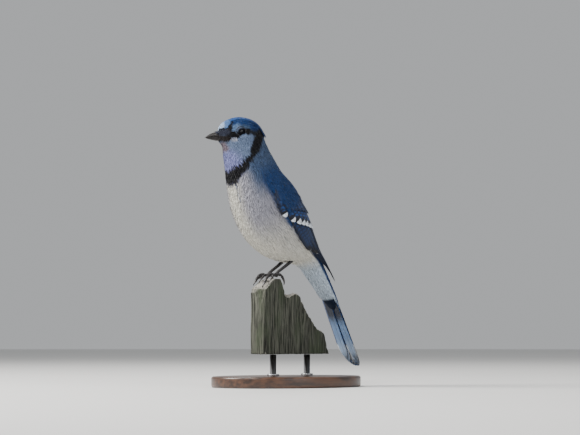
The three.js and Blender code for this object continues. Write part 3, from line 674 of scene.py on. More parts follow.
def trunk_marking(along, degrees, fold):
    """White below, grey on the breast, blue on the back, painted shade on the breast's side under the wing's
    shoulder and a painted shadow line down the breast, as layers of colour and share.
    """
    edge = np.interp(along, [7, 10, 11, 12, 13.5, 16, 19, 21, 24], [118, 100, 102, 98, 96, 92, 84, 78, 82])
    back = smoothstep(edge + 6, edge - 6, fold)
    # painted shadow: a thin blue-grey line down the side of the breast, where its feathers part
    shadow_line_angle = np.interp(along, [10.2, 11.4], [164, 159])
    line = smoothstep(2.6, 0.8, np.abs(degrees - shadow_line_angle)) * smoothstep(10.2, 10.4, along)
    return [
        (BREAST, 0.9 * smoothstep(176, 142, fold) * (1 - smoothstep(12.4, 15.2, along))),
        (BREAST, 0.3 * smoothstep(150, 110, fold) * (1 - smoothstep(15, 18.5, along))),
        # under the tail: white with painted shade
        (SHADED_UNDERTAIL, smoothstep(18.5, 20.5, along)),
        # painted shade: the side of the neck's blue-grey laid on the breast's side, under the wing's shoulder
        (SIDE_NECK, (1 - smoothstep(10.2, 12.2, along)) * smoothstep(140, 108, fold)),
        (TAIL_BASE, smoothstep(COVERTS_END, COVERTS_END + 0.12, along) * (fold > 100)),
        (MANTLE, back * smoothstep(8.8, 10.8, along)),
        (SIDE_NECK, back * (1 - smoothstep(8.8, 10.6, along)) * smoothstep(7, 7.6, along)),
        # painted shadow: the thin line down the breast
        (SIDE_NECK, 0.7 * line * (1 - smoothstep(11.2, 11.6, along))),
    ]


def face_marking(forward, up, fold, near):
    """Pale face and throat and blue crown, as layers of colour and share."""
    crown_edge = np.interp(forward, [-30, -12, -3, 3, 9, 13, 20], [-6, 1.4, 3.4, 3.8, 5.6, 1.2, 0.6])
    crown = smoothstep(crown_edge - 0.7, crown_edge + 0.7, up)
    return [
        # throat, darkened with painted shade
        (SHADED_THROAT, smoothstep(100, 150, fold) * smoothstep(-12, -22, up)),
        (PALE_LORE, 0.8 * near((8.2, -7.4), (5.2, -7.0), 1.4, 1.0)),
        (CHIN, 0.8 * near((14, -15), (16, -11.5), 2.6, 1.8)),
        (CROWN, crown),
        (CROWN_BACK, crown * smoothstep(-2, -12, forward)),
        (DULL_BROW, near((0, 4.6), (-6, 4.4), 1.8, 1.4)),
        (BROW, near((7.4, 2.8), (3.6, 5.2), 2.3, 1.0)),
        (FORE_BLUE, crown * smoothstep(8.6, 11.5, forward)),
        (FOREHEAD, crown * smoothstep(14.0, 16.6, forward)),
    ]


def layered(ground, layers, count):
    """One colour for each of count places: the ground, with each layer laid over it in turn."""
    tint = np.tile(ground, (count, 1))
    for colour, share in layers:
        tint = blend(tint, colour, share)
    return tint


def marking(along, degrees):
    """The plumage's colour at stations and angles of the body."""
    points = straight(along, degrees)
    forward, up = EYE_X - points[:, 0], points[:, 2] - EYE_Z
    fold = from_back(degrees)
    near = lambda *line: near_line(forward, up, *line)
    trunk = layered(BELLY, trunk_marking(along, degrees, fold), len(along))
    # the face's ground is the cheek colour, darkened with painted shade
    face = layered(SHADED_CHEEK, face_marking(forward, up, fold, near), len(along))
    outer = np.interp(fold, NECKLACE_ANGLES, NECKLACE_OUTER)
    inner = np.interp(fold, NECKLACE_ANGLES, NECKLACE_INNER)
    head = 1 - smoothstep(outer - 0.1, outer + 0.1, along)
    wedge = np.maximum(near((11.6, -1.0), (10.2, 3.8), 2.1, 0.5), near((10.2, 3.8), (8.2, 8.6), 1.0, 0.5))
    black = np.maximum.reduce([
        smoothstep(inner - 0.12, inner + 0.12, along) * head,  # necklace
        near((11.8, -2.6), (2.5, -3.2), 3.1) * (along < 5.6),  # lore
        near((0, -0.4), (-6, 0.4), 2.6) * (along < 7),  # behind the eye
        0.92 * near((-5, 0.4), (-18, -1.5), 2.2, 0.8) * (fold > 20),  # on to the nape
        wedge * (fold < 100),  # up the forehead
        near((20.0, 1.9), (12.5, 2.1), 0.9, 0.35) * (along < 4),  # over the bill
    ])
    tint = blend(blend(trunk, face, head), BLACK, np.clip(black, 0, 1) * (along < 10.7))
    tint = blend(tint, GAPE, near((20.5, -5.6), (11.5, -7.2), 2.5, 0.7) * (along < 4.6))
    return blend(tint, NASAL, near((21, -1.2), (13.0, -1.0), 2.6, 0.8) * (along < 4.6))


sample = marking(np.array([4.0, 9.4, 14.0]), np.array([10.0, 150.0, 180.0]))
print("crown, necklace and belly:", np.round(sample, 2).tolist())


# %% [markdown]
# ## Skin
# The coat hides the skin, but the skin gives the small feathers their backing and closes every gap
# between them. It is the body's own form, drawn in by the coat's depth, with the eyes' sockets
# pressed into it. It replaces the solids of head, neck, trunk and tail in one seamless piece.

# %% Skin
COAT_DEPTH = 1.1
SKIN_ROWS, SKIN_SIDES = 220, 144
EYE_OUT = 10.5
EYE_RADIUS = 4.5
SOCKET_RADIUS = EYE_RADIUS + 0.25


def head_point(forward, left, up):
    """A place on the turned head, measured from between the eyes."""
    places = np.broadcast_arrays(EYE_X - np.asarray(forward, float), -np.asarray(left, float),
                                 EYE_Z + np.asarray(up, float))
    return twist(np.stack(places, -1))


EYES = {"left": head_point(0, EYE_OUT, 0), "right": head_point(0, -EYE_OUT, 0)}
LID_CLEAR = 4.75  # no small feather comes closer to the middle of an eye


def eye_axis(word):
    """The way an eye looks: straight out of the side of the turned head."""
    return unit(EYES[word] - head_point(0, 0, 0))


def make_skin():
    rows = np.linspace(0, LAST, SKIN_ROWS)
    turn = np.linspace(0, 360, SKIN_SIDES, endpoint=False)
    along, degrees = (grid.ravel() for grid in np.meshgrid(rows, turn, indexing="ij"))
    points, normals = surface(along, degrees)
    points = points - normals * COAT_DEPTH
    for eye in EYES.values():
        away = points - eye
        distance = np.linalg.norm(away, axis=1, keepdims=True)
        points = np.where(distance < SOCKET_RADIUS, eye + away / distance * SOCKET_RADIUS, points)
    loops, sizes = ring_faces(SKIN_ROWS, SKIN_SIDES)
    skin = new_object("jay_skin", points, loops, sizes, SKIN)
    give(skin, "tint", marking(along, degrees))
    give_uv(skin, skin_uv(along, degrees))
    return skin


skin = make_skin()
settle(skin, "plumage_pale", "head", "neck", "torso", "tail")
print("skin:", len(skin.data.polygons), "faces")


# %% [markdown]
# ## The coat
# Small feathers overlap like roof tiles, tip over root, from the bill to the tail. They are tiny on
# the face, longer on the crown, broad on the breast and soft on the belly. A low-discrepancy
# sequence, warped by the body's area, spreads their roots evenly without rows that would show.

# %% Spread the roots evenly
TUFT_STATIONS = np.array([0, 1.5, 3, 5, 7, 9, 12, 15, 18, 21, 24])
TUFT_LENGTH = np.array([1.9, 2.3, 2.8, 3.7, 5.0, 6.6, 8.2, 9.4, 9.4, 8.8, 8.0])
TUFT_SLIM = np.array([0.15, 0.145, 0.14, 0.13, 0.12, 0.105, 0.095, 0.09, 0.09, 0.09, 0.09])
OVERLAP = 7.2  # feathers over each place, counted as tuft_area does
PLASTIC_NUMBER = 1.32471795724474602596  # its powers spread points evenly over a plane


def tuft_area(along):
    """Twice the slimness times the length squared: about the area of one small feather."""
    return 2 * np.interp(along, TUFT_STATIONS, TUFT_SLIM) * np.interp(along, TUFT_STATIONS, TUFT_LENGTH) ** 2


def crowding(low, high, rows, columns):
    """A grid between two stations, and how many small feathers fit side by side in each cell."""
    fine, turn = np.linspace(low, high, rows), np.linspace(0, 360, columns)
    s, a = np.meshgrid(fine, turn, indexing="ij")
    points = twist(straight(s, a))
    area = np.linalg.norm(np.cross(np.gradient(points, axis=0), np.gradient(points, axis=1)), axis=-1)
    return fine, turn, area / tuft_area(s)


def evenly(low, high):
    """Stations and angles spread evenly over the body between two stations, denser where feathers
    are smaller."""
    count = int(OVERLAP * np.sum(crowding(low, high, 200, 91)[2]))
    fine, turn, weight = crowding(low, high, 400, 181)
    rows = np.cumsum(weight.sum(1))
    index = np.arange(count) + 0.5
    first, second = np.mod(index / PLASTIC_NUMBER, 1), np.mod(index / PLASTIC_NUMBER**2, 1)
    along = np.interp(first, rows / rows[-1], fine)
    row = np.clip(np.searchsorted(fine, along), 0, len(fine) - 1)
    columns = np.cumsum(weight, axis=1)
    columns /= columns[:, -1:]
    degrees = np.array([np.interp(second[i], columns[row[i]], turn) for i in range(count)])
    return along, degrees


along, _ = evenly(12.0, 13.0)
print("feathers on one station of the breast:", len(along))


# %% Round the wings, the shoulders and the eyes
SHOULDER_LIFT = 3.1
EYE_HOLLOW = 8.0  # how far in and out of the eye its feathers are parted


def wing_covers(along, degrees):
    """Places well under a folded wing, where no feather would show."""
    fold = from_back(degrees)
    low = np.interp(along, [12.9, 13.6, 16, 18, 19], [60, 84, 84, 72, 50])
    high = np.interp(along, [12.9, 13.6, 16, 18, 19], [60, 28, 22, 24, 50])
    return (fold < low) & (fold > high) & (along > 12.9) & (along < 19)


def shoulder_rise(along, degrees):
    """How far the coat rides up over the shoulder of the folded wing."""
    fold = from_back(degrees)
    window = smoothstep(98, 84, fold) * smoothstep(10, 26, fold)
    return SHOULDER_LIFT * smoothstep(10.6, 12.9, along) * (1 - smoothstep(13.6, 14.4, along)) * window


def part_round_eyes(centres):
    """Bends small feathers round the eyes, so that none lies over a lid."""
    for word, eye in EYES.items():
        axis = eye_axis(word)
        away = centres - eye
        depth = away @ axis
        flat = away - depth[..., None] * axis
        distance = np.linalg.norm(flat, axis=-1, keepdims=True)
        pushed = eye + depth[..., None] * axis + flat / distance * LID_CLEAR
        close = (distance[..., 0] < LID_CLEAR) & (np.abs(depth) < EYE_HOLLOW)
        centres = np.where(close[..., None], pushed, centres)
    return centres


# %% One band of the coat
MOST_IN_A_PIECE = 5200
LAST_ROOT_BELOW, LAST_ROOT_ABOVE = 22.4, 23.3
UNDERSIDE = 95  # degrees from the back
BARE_ROUND_EYE = LID_CLEAR + 0.5
ROOT_DEPTH, TIP_DEPTH, TIP_STAND = 0.95, 0.12, 0.3
STATION_STEP = 0.1
ROOT_SHARE = 0.45  # a feather takes the marking a little nearer its tip than its root


def coat(name, low, high, slot):
    along, degrees = evenly(low, high)
    along = along + rng.normal(0, 0.02, len(along))
    degrees = degrees + rng.normal(0, 0.5, len(along))
    last = np.where(from_back(degrees) > UNDERSIDE, LAST_ROOT_BELOW, LAST_ROOT_ABOVE)
    keep = (along > 0.02) & (along < last) & ~wing_covers(along, degrees)
    root_points, _ = surface(along, degrees)
    for eye in EYES.values():
        keep &= np.linalg.norm(root_points - eye, axis=1) > BARE_ROUND_EYE
    along, degrees = along[keep], degrees[keep]
    order = np.argsort(np.mod(degrees + 180, 360))
    groups = np.array_split(order, math.ceil(len(order) / MOST_IN_A_PIECE))
    for index, chosen in enumerate(groups):
        settle(coat_piece(f"{name}_{index + 1}", along[chosen], degrees[chosen]), slot)
    print(name, len(order), "feathers in", len(groups), "pieces")


def coat_piece(name, along, degrees):
    count = len(along)
    length = np.interp(along, TUFT_STATIONS, TUFT_LENGTH) * rng.uniform(0.82, 1.2, count)
    half = np.interp(along, TUFT_STATIONS, TUFT_SLIM) * length
    here = twist(straight(along, degrees))
    there = twist(straight(np.clip(along + STATION_STEP, 0, LAST), degrees))
    per_station = np.maximum(np.linalg.norm(there - here, axis=1) / STATION_STEP, 1.2)
    end = np.clip(along + length / per_station, 0, LAST)
    ragged = COVERTS_END + 0.1 * rng.random(count)
    end = np.where(from_back(degrees) > UNDERSIDE, np.minimum(end, ragged), end)
    turned = degrees + rng.normal(0, 1.6, count)
    root = np.stack([along, degrees, shoulder_rise(along, degrees) - ROOT_DEPTH], -1)
    rise = shoulder_rise(end, turned) - TIP_DEPTH + TIP_STAND * rng.random(count) ** 2
    centres, normals = lifted(rows_between(root, np.stack([end, turned, rise], -1), 5, 0.1))
    jitter = rng.normal(0, 1, (2, count))
    seen = np.clip(along * ROOT_SHARE + end * (1 - ROOT_SHARE) + 0.035 * jitter[0], 0, LAST)
    tint = marking(seen, degrees + 0.8 * jitter[1])
    return feathers(name, part_round_eyes(centres), normals, half, SMALL_FEATHERS, thickness=0.16, droop=5.0,
                    tip=0.9, root=0.7, tint=tint, bake=skin_uv(along, degrees))


# %% Grow the coat
COAT_PARTS = {
    "face_coat": (0.0, 4.2, "plumage_blue"),
    "crown_coat": (4.2, 8.0, "plumage_blue"),
    "neck_coat": (8.0, 12.0, "plumage_pale"),
    "trunk_coat": (12.0, 17.0, "plumage_pale"),
    "vent_coat": (17.0, 23.4, "plumage_pale"),
}
for name, (low, high, slot) in COAT_PARTS.items():
    coat(name, low, high, slot)


# %% [markdown]
# ## Crest
# The jay holds its crest flat in the photo, but its long crown feathers still show: they run back
# from the forehead in layers and end in a low peak over the nape. They are built as narrow vanes,
# longer towards the back, each row lying on the one behind it.

# %% Crest feathers
CREST_ROWS = 10
CREST_FIRST, CREST_LAST = 2.6, 5.7  # stations of the first and the last row's roots
CREST_SPREAD = 40.0  # degrees to either side of the crown
ALL_BLUE_FROM = 6.2  # no black of the nape on tips past this station


def make_crest():
    roots, tips, halves = [], [], []
    for row in range(CREST_ROWS):
        back = row / (CREST_ROWS - 1)
        spread = CREST_SPREAD * (1 - 0.45 * back)
        count = 17 if row % 2 else 16
        for angle in np.linspace(-spread, spread, count):
            station = CREST_FIRST + (CREST_LAST - CREST_FIRST) * back + rng.normal(0, 0.06)
            reach = 1.3 + 0.35 * back + rng.normal(0, 0.06)
            middle = 1 - abs(angle) / CREST_SPREAD
            turn = angle + rng.normal(0, 1.2)
            roots.append([station, turn, -0.6])
            tips.append([station + reach, turn * (1 - 0.4 * back), 0.15 + back**2 * (0.3 + 2.0 * middle)])
            halves.append(1.0 + 0.35 * back)
    roots, tips = np.array(roots), np.array(tips)
    centres, normals = lifted(rows_between(roots, tips, 7, 0.15))
    tint = marking(roots[:, 0] * 0.4 + tips[:, 0] * 0.6, roots[:, 1])
    tint[tips[:, 0] > ALL_BLUE_FROM] = CROWN_BACK
    return feathers("crest", centres, normals, halves, SMALL_FEATHERS, across=WIDE, thickness=0.25,
                    shaft=0.05, droop=12.0, tip=0.7, tint=tint, bake=skin_uv(roots[:, 0], roots[:, 1]))


crest = make_crest()
settle(crest, "plumage_blue")
print("crest:", len(crest.data.polygons), "faces")


# %% [markdown]
# ## Wings
# A folded wing is tiers of feathers: small coverts over the shoulder, a row of larger ones whose white
# tips make the wing bar, then the long flight feathers, which slide under each other like a closed
# fan and end in a point over the tail. A painted surface would do from afar, but real vanes give the
# steps and shadows between them. Each tier is a row of vanes between a low end, at the wing's lower
# edge, and a high end on the back.

# %% Wing tiers
# root and tip hold the low and the high end of a row as station, angle and lift
WING_TIERS = {
    "primaries": dict(
        count=9, root=([15.0, 90, 0.4], [15.8, 68, 0.6]), tip=([19.4, 70, 1.4], [22.0, 24, 4.6]),
        half=(3.6, 4.4), rows=22, traits=(0.3, 2.0, 0.9), tip_share=0.2, inner=0.9),
    "secondaries": dict(
        count=8, root=([14.0, 86, 0.9], [14.2, 42, 1.2]), tip=([17.9, 84, 1.9], [20.1, 27, 2.6]),
        half=(4.4, 5.0), rows=18, traits=(0.85, 0.955, 0.6), tip_share=0.22),
    "tertials": dict(
        count=3, root=([14.2, 44, 1.4], [14.2, 20, 1.6]), tip=([19.3, 34, 2.8], [18.2, 16, 3.1]),
        half=(6.0, 5.4), rows=18, traits=(0.95, 0.92, 0.0), tip_share=0.32),
    "greater_coverts": dict(
        count=9, root=([12.3, 92, 1.2], [14.4, 32, 1.4]), tip=([13.75, 94, 2.8], [16.9, 32, 3.4]),
        half=(4.0, 4.5), rows=14, traits=(0.95, 0.8, 0.2), tip_share=0.35),
    "median_coverts": dict(
        count=9, root=([11.9, 90, 1.0], [12.9, 34, 1.4]), tip=([12.8, 93, 3.0], [15.1, 34, 3.5]),
        half=(3.7, 4.2), rows=10, traits=(0.5, 2.0, 0.55), tip_share=0.6),
    "lesser_coverts": dict(
        count=8, root=([11.6, 84, 0.8], [12.0, 36, 1.2]), tip=([12.5, 90, 2.7], [14.0, 36, 3.3]),
        half=(3.4, 3.8), rows=9, traits=(0.0, 2.0, 0.7), tip_share=0.7),
    "scapulars": dict(
        count=6, root=([12.4, 46, 1.0], [12.8, 18, 1.0]), tip=([14.8, 42, 3.8], [15.5, 15, 3.4]),
        half=(4.2, 4.4), rows=10, traits=(0.0, 2.0, 0.75), tip_share=0.6),
    "upper_scapulars": dict(
        count=6, root=([11.4, 42, 0.2], [11.8, 16, 0.2]), tip=([13.4, 40, 3.6], [14.0, 14, 3.0]),
        half=(3.8, 4.0), rows=9, traits=(0.0, 2.0, 0.8), tip_share=0.7),
}
print("vanes on a wing:", sum(tier["count"] for tier in WING_TIERS.values()))


def make_tier(name, mirror, count, root, tip, half, rows, traits, tip_share, inner=1.0):
    share = np.linspace(0, 1, count)[:, None]
    bowed = np.concatenate([share**0.75, share, share], axis=1)
    start = np.array(root[0]) * (1 - bowed) + np.array(root[1]) * bowed
    end = np.array(tip[0]) * (1 - bowed) + np.array(tip[1]) * bowed
    scatter = rng.normal(0, [0.05, 0.5, 0.05], end.shape)
    start, end = start + 0.3 * scatter, end + scatter
    start[:, 1] *= mirror
    end[:, 1] *= mirror
    centres, normals = lifted(rows_between(start, end, rows))
    trait = np.tile(np.array(traits, float), (count, 1))
    trait[:, 1] += rng.normal(0, 0.012, count)
    halves = np.linspace(*half, count)
    return feathers(name, centres, normals, halves, WING_VANES, across=WIDE, thickness=0.32, shaft=0.16,
                    droop=26.0, tip=tip_share, root=0.55, inner=inner, fray=0.05, traits=trait)


# %% Wings
CORE_ROWS, CORE_SIDES = 40, 24
CORE_FROM, CORE_TO = 12.2, 18.4  # stations
CORE_TINT = rgb(28, 48, 80)


def wing_core(name, mirror):
    """The wing's own body, which the feathers hide: it keeps light from showing between them."""
    share = np.linspace(0, 1, CORE_ROWS)
    along = CORE_FROM + (CORE_TO - CORE_FROM) * share
    open_ = np.sin(math.pi * (0.12 + 0.76 * share)) ** 0.5
    middle = 64 - 20 * share
    low = middle + (92 - 14 * share - middle) * open_
    high = middle + (14 - middle) * open_
    across = np.linspace(0, 1, CORE_SIDES)
    thin = 1 - 0.5 * smoothstep(14.5, 16.5, along)
    lift = 0.2 + 1.0 * np.sin(math.pi * across)[None] ** 0.5 * (open_ * thin)[:, None]
    degrees = mirror * (low[:, None] + (high - low)[:, None] * across)
    stations = np.repeat(along[:, None], CORE_SIDES, 1)
    outer, _ = lifted(np.stack([stations, degrees, lift], -1))
    inner, _ = lifted(np.stack([stations, degrees, np.full_like(lift, -0.9)], -1))
    rings = np.concatenate([outer, inner[:, ::-1]], axis=1)
    loops, sizes = ring_faces(CORE_ROWS, 2 * CORE_SIDES)
    core = new_object(name, rings.reshape(-1, 3), loops, sizes, SKIN)
    if mirror < 0:
        core.data.flip_normals()
    give(core, "tint", np.tile(CORE_TINT, (*rings.shape[:2], 1)))
    return core


def make_wing(word, mirror):
    pieces = [make_tier(f"{name}_{word}", mirror, **tier) for name, tier in WING_TIERS.items()]
    settle(wing_core(f"wing_body_{word}", mirror), "plumage_blue", f"wing_{word}")
    for piece in pieces:
        settle(piece, "plumage_blue")
    print(word, "wing:", sum(len(piece.data.polygons) for piece in pieces), "faces")


make_wing("left", 1)
make_wing("right", -1)


# %% [markdown]
# ## Tail
# Twelve long feathers lie closed in a stack with the middle pair on top. From below, as the photo
# shows it, only the outer ones are seen: dark at the base and pale towards the tip. Their upper sides
# are blue with black bars. Each is a vane of its own, so that the edge shows the whole stack.

# %% Tail feathers
TAIL_LENGTH = 125.0
TAIL_START = 24.0
TAIL_ROOT = np.array([40.2, 0.0, 30.0])
TAIL_SLOPE = math.radians(64.4)
TAIL_HALF = 7.0
TAIL_ROOT_SPREAD, TAIL_SPREAD = 2.4, 6.2
TAIL_TOP = 5.4
TAIL_STACK = 0.86
SHORTER = [0, 0.5, 1.6, 3.4, 6, 10]  # how much each pair falls short of the longest
TAIL_DROOP = [10, 10, 12, 16, 40, 90]  # radius of each pair's arch across
TAIL_ROWS = 26
tail_along = np.array([math.cos(TAIL_SLOPE), 0, -math.sin(TAIL_SLOPE)])
tail_back = np.array([math.sin(TAIL_SLOPE), 0, math.cos(TAIL_SLOPE)])


def tail_feather(pair, side, layer):
    share = np.linspace(0, 1, TAIL_ROWS)[:, None]
    reach = TAIL_START + (TAIL_LENGTH - SHORTER[pair] - TAIL_START) * share
    spread = TAIL_ROOT_SPREAD + (TAIL_SPREAD - TAIL_ROOT_SPREAD) * share
    lateral = side * (0.8 + pair / 5 * spread)
    height = TAIL_TOP - layer * TAIL_STACK - 1.2 * share**2
    return TAIL_ROOT + tail_along * reach + tail_back * height + np.array([0, -1.0, 0]) * lateral


def make_tail():
    stack = [(0, 1, 0), (0, -1, 1)]
    for pair in range(1, 6):
        for side in (1, -1):
            stack.append((pair, side, pair + 1 + (0.5 if side < 0 and pair > 3 else 0)))
    for pair, side, layer in stack:
        centres = tail_feather(pair, side, layer)[None]
        normals = np.broadcast_to(tail_back, centres.shape)
        barred = 0.95 if pair < 4 else 0.6
        traits = np.array([[barred, 2.0 if pair == 0 else 0.93 - 0.02 * pair, pair / 5]])
        word = "left" if side > 0 else "right"
        piece = feathers(
            f"tail_feather_{pair + 1}_{word}", centres, normals, [TAIL_HALF], TAIL_VANES, across=WIDE * side,
            thickness=0.4, shaft=0.2, droop=TAIL_DROOP[pair], tip=0.16, root=0.74, inner=0.9 - 0.1 * pair / 5,
            fray=0.03, traits=traits,
        )
        if side > 0:
            piece.data.flip_normals()
        settle(piece, "plumage_blue")
    print(len(stack), "tail feathers")


make_tail()


# %% [markdown]
# ## Bill and eyes
# The bill is two halves of black horn. The upper one arches and hooks a little past the lower. The
# eyes are nearly black, with a thin dark rim of bare skin, and bristly feathers lie forward over the
# nostrils. All are small enough to be plain formulas: a ball with a bulged cornea, a beaded ring, and
# half tubes that narrow to the tip.

# %% Horn, eye and lid materials
def horn_material():
    graph = Graph("bill_horn", Roughness=0.42, Specular_IOR_Level=0.3)
    grain = graph.noise(graph.place((400.0, 400.0, 2600.0)), 1.0, 5.0)
    worn = graph.noise(graph.place(), 0.5, 3.0)
    colour = graph.mix(graph.step(0.42, 0.68, grain), rgb(13, 10, 11), rgb(28, 23, 23))
    colour = graph.mix(graph.step(0.5, 0.75, worn, (0, 0.5)), colour, rgb(40, 33, 32))
    return graph.finish(colour, graph.step(0.3, 0.7, worn, (0.36, 0.52)), grain, 0.08)


def eye_material():
    """Angle from the eye's axis: pupil, then a thin dark brown iris, then the dark rim."""
    graph = Graph("eye", Roughness=0.04, Coat_Weight=1.0, Coat_Roughness=0.02, IOR=1.38)
    angle, around, _ = graph.parts(graph.attribute("gaze"))
    fibres = graph.noise(graph.vector(graph.times(angle, 6.0), graph.times(around, 9.0)), 3.0)
    iris = graph.mix(fibres, rgb(36, 20, 12), rgb(74, 44, 26))
    colour = graph.mix(graph.step(0.44, 0.5, angle), rgb(3, 3, 4), iris)
    colour = graph.mix(graph.step(0.72, 0.84, angle), colour, rgb(8, 6, 6))
    return graph.finish(colour)


def lid_material():
    graph = Graph("eyelid", Roughness=0.55)
    pebbles = graph.noise(graph.place(), 2.4, 3.0)
    return graph.finish(graph.mix(pebbles, rgb(12, 12, 15), rgb(44, 44, 50)), None, pebbles, 0.15)


HORN = horn_material()
EYE = eye_material()
LID = lid_material()
print("materials:", HORN.name, EYE.name, LID.name)


# %% Eyes and lids
LID_RADIUS = 4.15
LID_OFFSET = 2.75
LID_THICKNESS = 0.42
LID_RIM, LID_SIDES = 72, 10
EYE_GRID = 72
CORNEA_RISE, CORNEA_REACH = 0.05, 0.5


def make_eye(word, side):
    centre = EYES[word]
    axis = eye_axis(word)
    forward = unit(head_point(10, 0, 0) - head_point(0, 0, 0))
    upward = np.array([0.0, 0.0, 1.0])
    angles = np.linspace(0.003, math.pi - 0.003, EYE_GRID)
    turn = np.linspace(0, 2 * math.pi, EYE_GRID, endpoint=False)
    a, t = (grid[..., None] for grid in np.meshgrid(angles, turn, indexing="ij"))
    cornea = 1 + CORNEA_RISE * np.exp(-((a / CORNEA_REACH) ** 2))
    around = forward * np.cos(t) + upward * np.sin(t)
    points = centre + EYE_RADIUS * cornea * (axis * np.cos(a) + around * np.sin(a))
    loops, sizes = ring_faces(EYE_GRID, EYE_GRID)
    eye = new_object(f"eyeball_{word}", points.reshape(-1, 3), loops, sizes, EYE)
    if side < 0:
        eye.data.flip_normals()
    give(eye, "gaze", np.concatenate([a, t, 0 * a], -1))
    settle(eye, "eye", f"eye_{word}")

    rim = np.linspace(0, 2 * math.pi, LID_RIM, endpoint=False)
    section = np.linspace(0, 2 * math.pi, LID_SIDES, endpoint=False)
    r, c = np.meshgrid(rim, section, indexing="ij")
    pinch = 1 - 0.07 * np.abs(np.sin(r)) ** 2 + 0.05 * np.maximum(np.cos(r), 0) ** 6
    beads = 1 + 0.14 * np.cos(26 * r)
    outward = forward * (np.cos(r) * 1.04)[..., None] + upward * np.sin(r)[..., None]
    radius = LID_RADIUS * pinch + LID_THICKNESS * beads * np.cos(c)
    lid_points = centre + axis * (LID_OFFSET + LID_THICKNESS * beads * np.sin(c))[..., None]
    lid_points = lid_points + outward * radius[..., None]
    here, place = np.meshgrid(np.arange(LID_RIM) * LID_SIDES, np.arange(LID_SIDES), indexing="ij")
    ahead, after = (here + LID_SIDES) % (LID_RIM * LID_SIDES), (place + 1) % LID_SIDES
    quads = np.stack([here + place, ahead + place, ahead + after, here + after], -1)
    lid = new_object(f"eyelid_{word}", lid_points.reshape(-1, 3), quads.ravel(), [4] * here.size, LID)
    if side > 0:
        lid.data.flip_normals()
    settle(lid, "horn")


make_eye("left", 1)
make_eye("right", -1)
print("eyes", round(float(np.linalg.norm(EYES["left"] - EYES["right"])), 1), "mm apart")


# %% Bill
BILL_ROOT, BILL_TIP, LOWER_TIP = 17.5, 31.6, 30.4
BILL_FACE = 19.9  # where the CAD's bill starts: the horn runs on from here under the feathers
BILL_HALF = 4.4
MOUTH_ROOT, MOUTH_TIP = -4.2, -5.1
CULMEN_ROOT, GONYS_ROOT = 0.5, -7.8
BILL_ROWS, BILL_SIDES = 44, 24


def bill_half(name, upper):
    tip = BILL_TIP if upper else LOWER_TIP
    reach = BILL_ROOT + (tip - BILL_ROOT) * np.linspace(0, 1, BILL_ROWS) ** 0.85
    share = np.clip((reach - BILL_FACE) / (BILL_TIP - BILL_FACE), 0, 1)
    mouth = MOUTH_ROOT + (MOUTH_TIP - MOUTH_ROOT) * share + 0.4 * np.sin(math.pi * share)
    half = BILL_HALF * (1 - share) ** 0.8 * (1 if upper else 0.9) + 0.3
    if upper:
        flat = mouth + 0.06 - 0.5 * smoothstep(0.9, 1.0, share)
        crown = np.maximum(CULMEN_ROOT + (MOUTH_TIP + 0.3 - CULMEN_ROOT) * share**1.7, flat + 0.35)
    else:
        flat = mouth - 0.06
        crown = np.minimum(GONYS_ROOT + (MOUTH_TIP - 0.3 - GONYS_ROOT) * share**1.4, flat - 0.3)
    turn = np.linspace(0, math.pi, BILL_SIDES)
    side = np.cos(turn)
    rise = np.sin(turn) ** (0.8 if upper else 0.7)
    rise = rise + (0.05 * np.exp(-(((turn - math.pi / 2) / 0.25) ** 2)) if upper else 0)
    lift = flat[:, None] + (crown - flat)[:, None] * rise
    points = head_point(reach[:, None] + 0 * side, half[:, None] * side, lift)
    loops, sizes = ring_faces(BILL_ROWS, BILL_SIDES)
    piece = new_object(name, points.reshape(-1, 3), loops, sizes, HORN)
    if not upper:
        piece.data.flip_normals()
    return piece


for name, upper in (("upper_mandible", True), ("lower_mandible", False)):
    horn = bill_half(name, upper)
    settle(horn, "horn", "bill_upper" if upper else "bill_lower")
    print(name, len(horn.data.polygons), "faces")


# %% Nasal tufts
NASAL_COUNT = 150


def make_nasal_tufts():
    """Stiff little feathers that lie forward over the root of the bill and hide the nostrils."""
    side = np.where(np.arange(NASAL_COUNT) % 2 == 0, 1.0, -1.0)
    turn = np.radians(rng.uniform(2, 88, NASAL_COUNT))
    root = rng.uniform(14.0, 17.5, NASAL_COUNT)
    tip = root + rng.uniform(4.2, 6.0, NASAL_COUNT) - 1.4 * np.sin(turn) ** 2
    beside, above = np.sin(turn) ** 0.8, np.cos(turn) ** 0.9
    share = np.linspace(0, 1, 6)[None]
    between = lambda start, end: start[:, None] * (1 - share) + end[:, None] * share
    out = between(side * 4.9 * beside, side * (4.3 * beside + 0.1)) * (1.25 - 0.25 * share)
    rise = between(3.6 * above - 2.6, 3.3 * above - 3.0) + 0.5 * np.sin(math.pi * share)
    centres = head_point(between(root, tip), out, rise)
    normals = unit(centres - head_point(root[:, None], 0, -3.5))
    shade = np.where(3.6 * above > 1.0, 1.0, 0.55)[:, None] * rng.uniform(0.8, 1.2, (NASAL_COUNT, 1))
    bake = skin_uv(np.full(NASAL_COUNT, 1.0), np.degrees(turn) * side)
    return feathers("nasal_tufts", centres, normals, 0.5, SMALL_FEATHERS, thickness=0.16, droop=6.0, tip=0.9,
                    root=0.8, tint=np.array(NASAL)[None] * shade, bake=bake)


settle(make_nasal_tufts(), "plumage_blue")
print(NASAL_COUNT, "nasal tufts")


# %% [markdown]
# ## Legs and feet
# A perching bird's shank is a thin rod armoured with plates, and its toes grip with pads between the
# joints and a curved claw. The feet hold the picket: three toes over its front edge, one behind. Tubes
# through the joints of the bones are enough, with a radius that swells at every pad and plate.

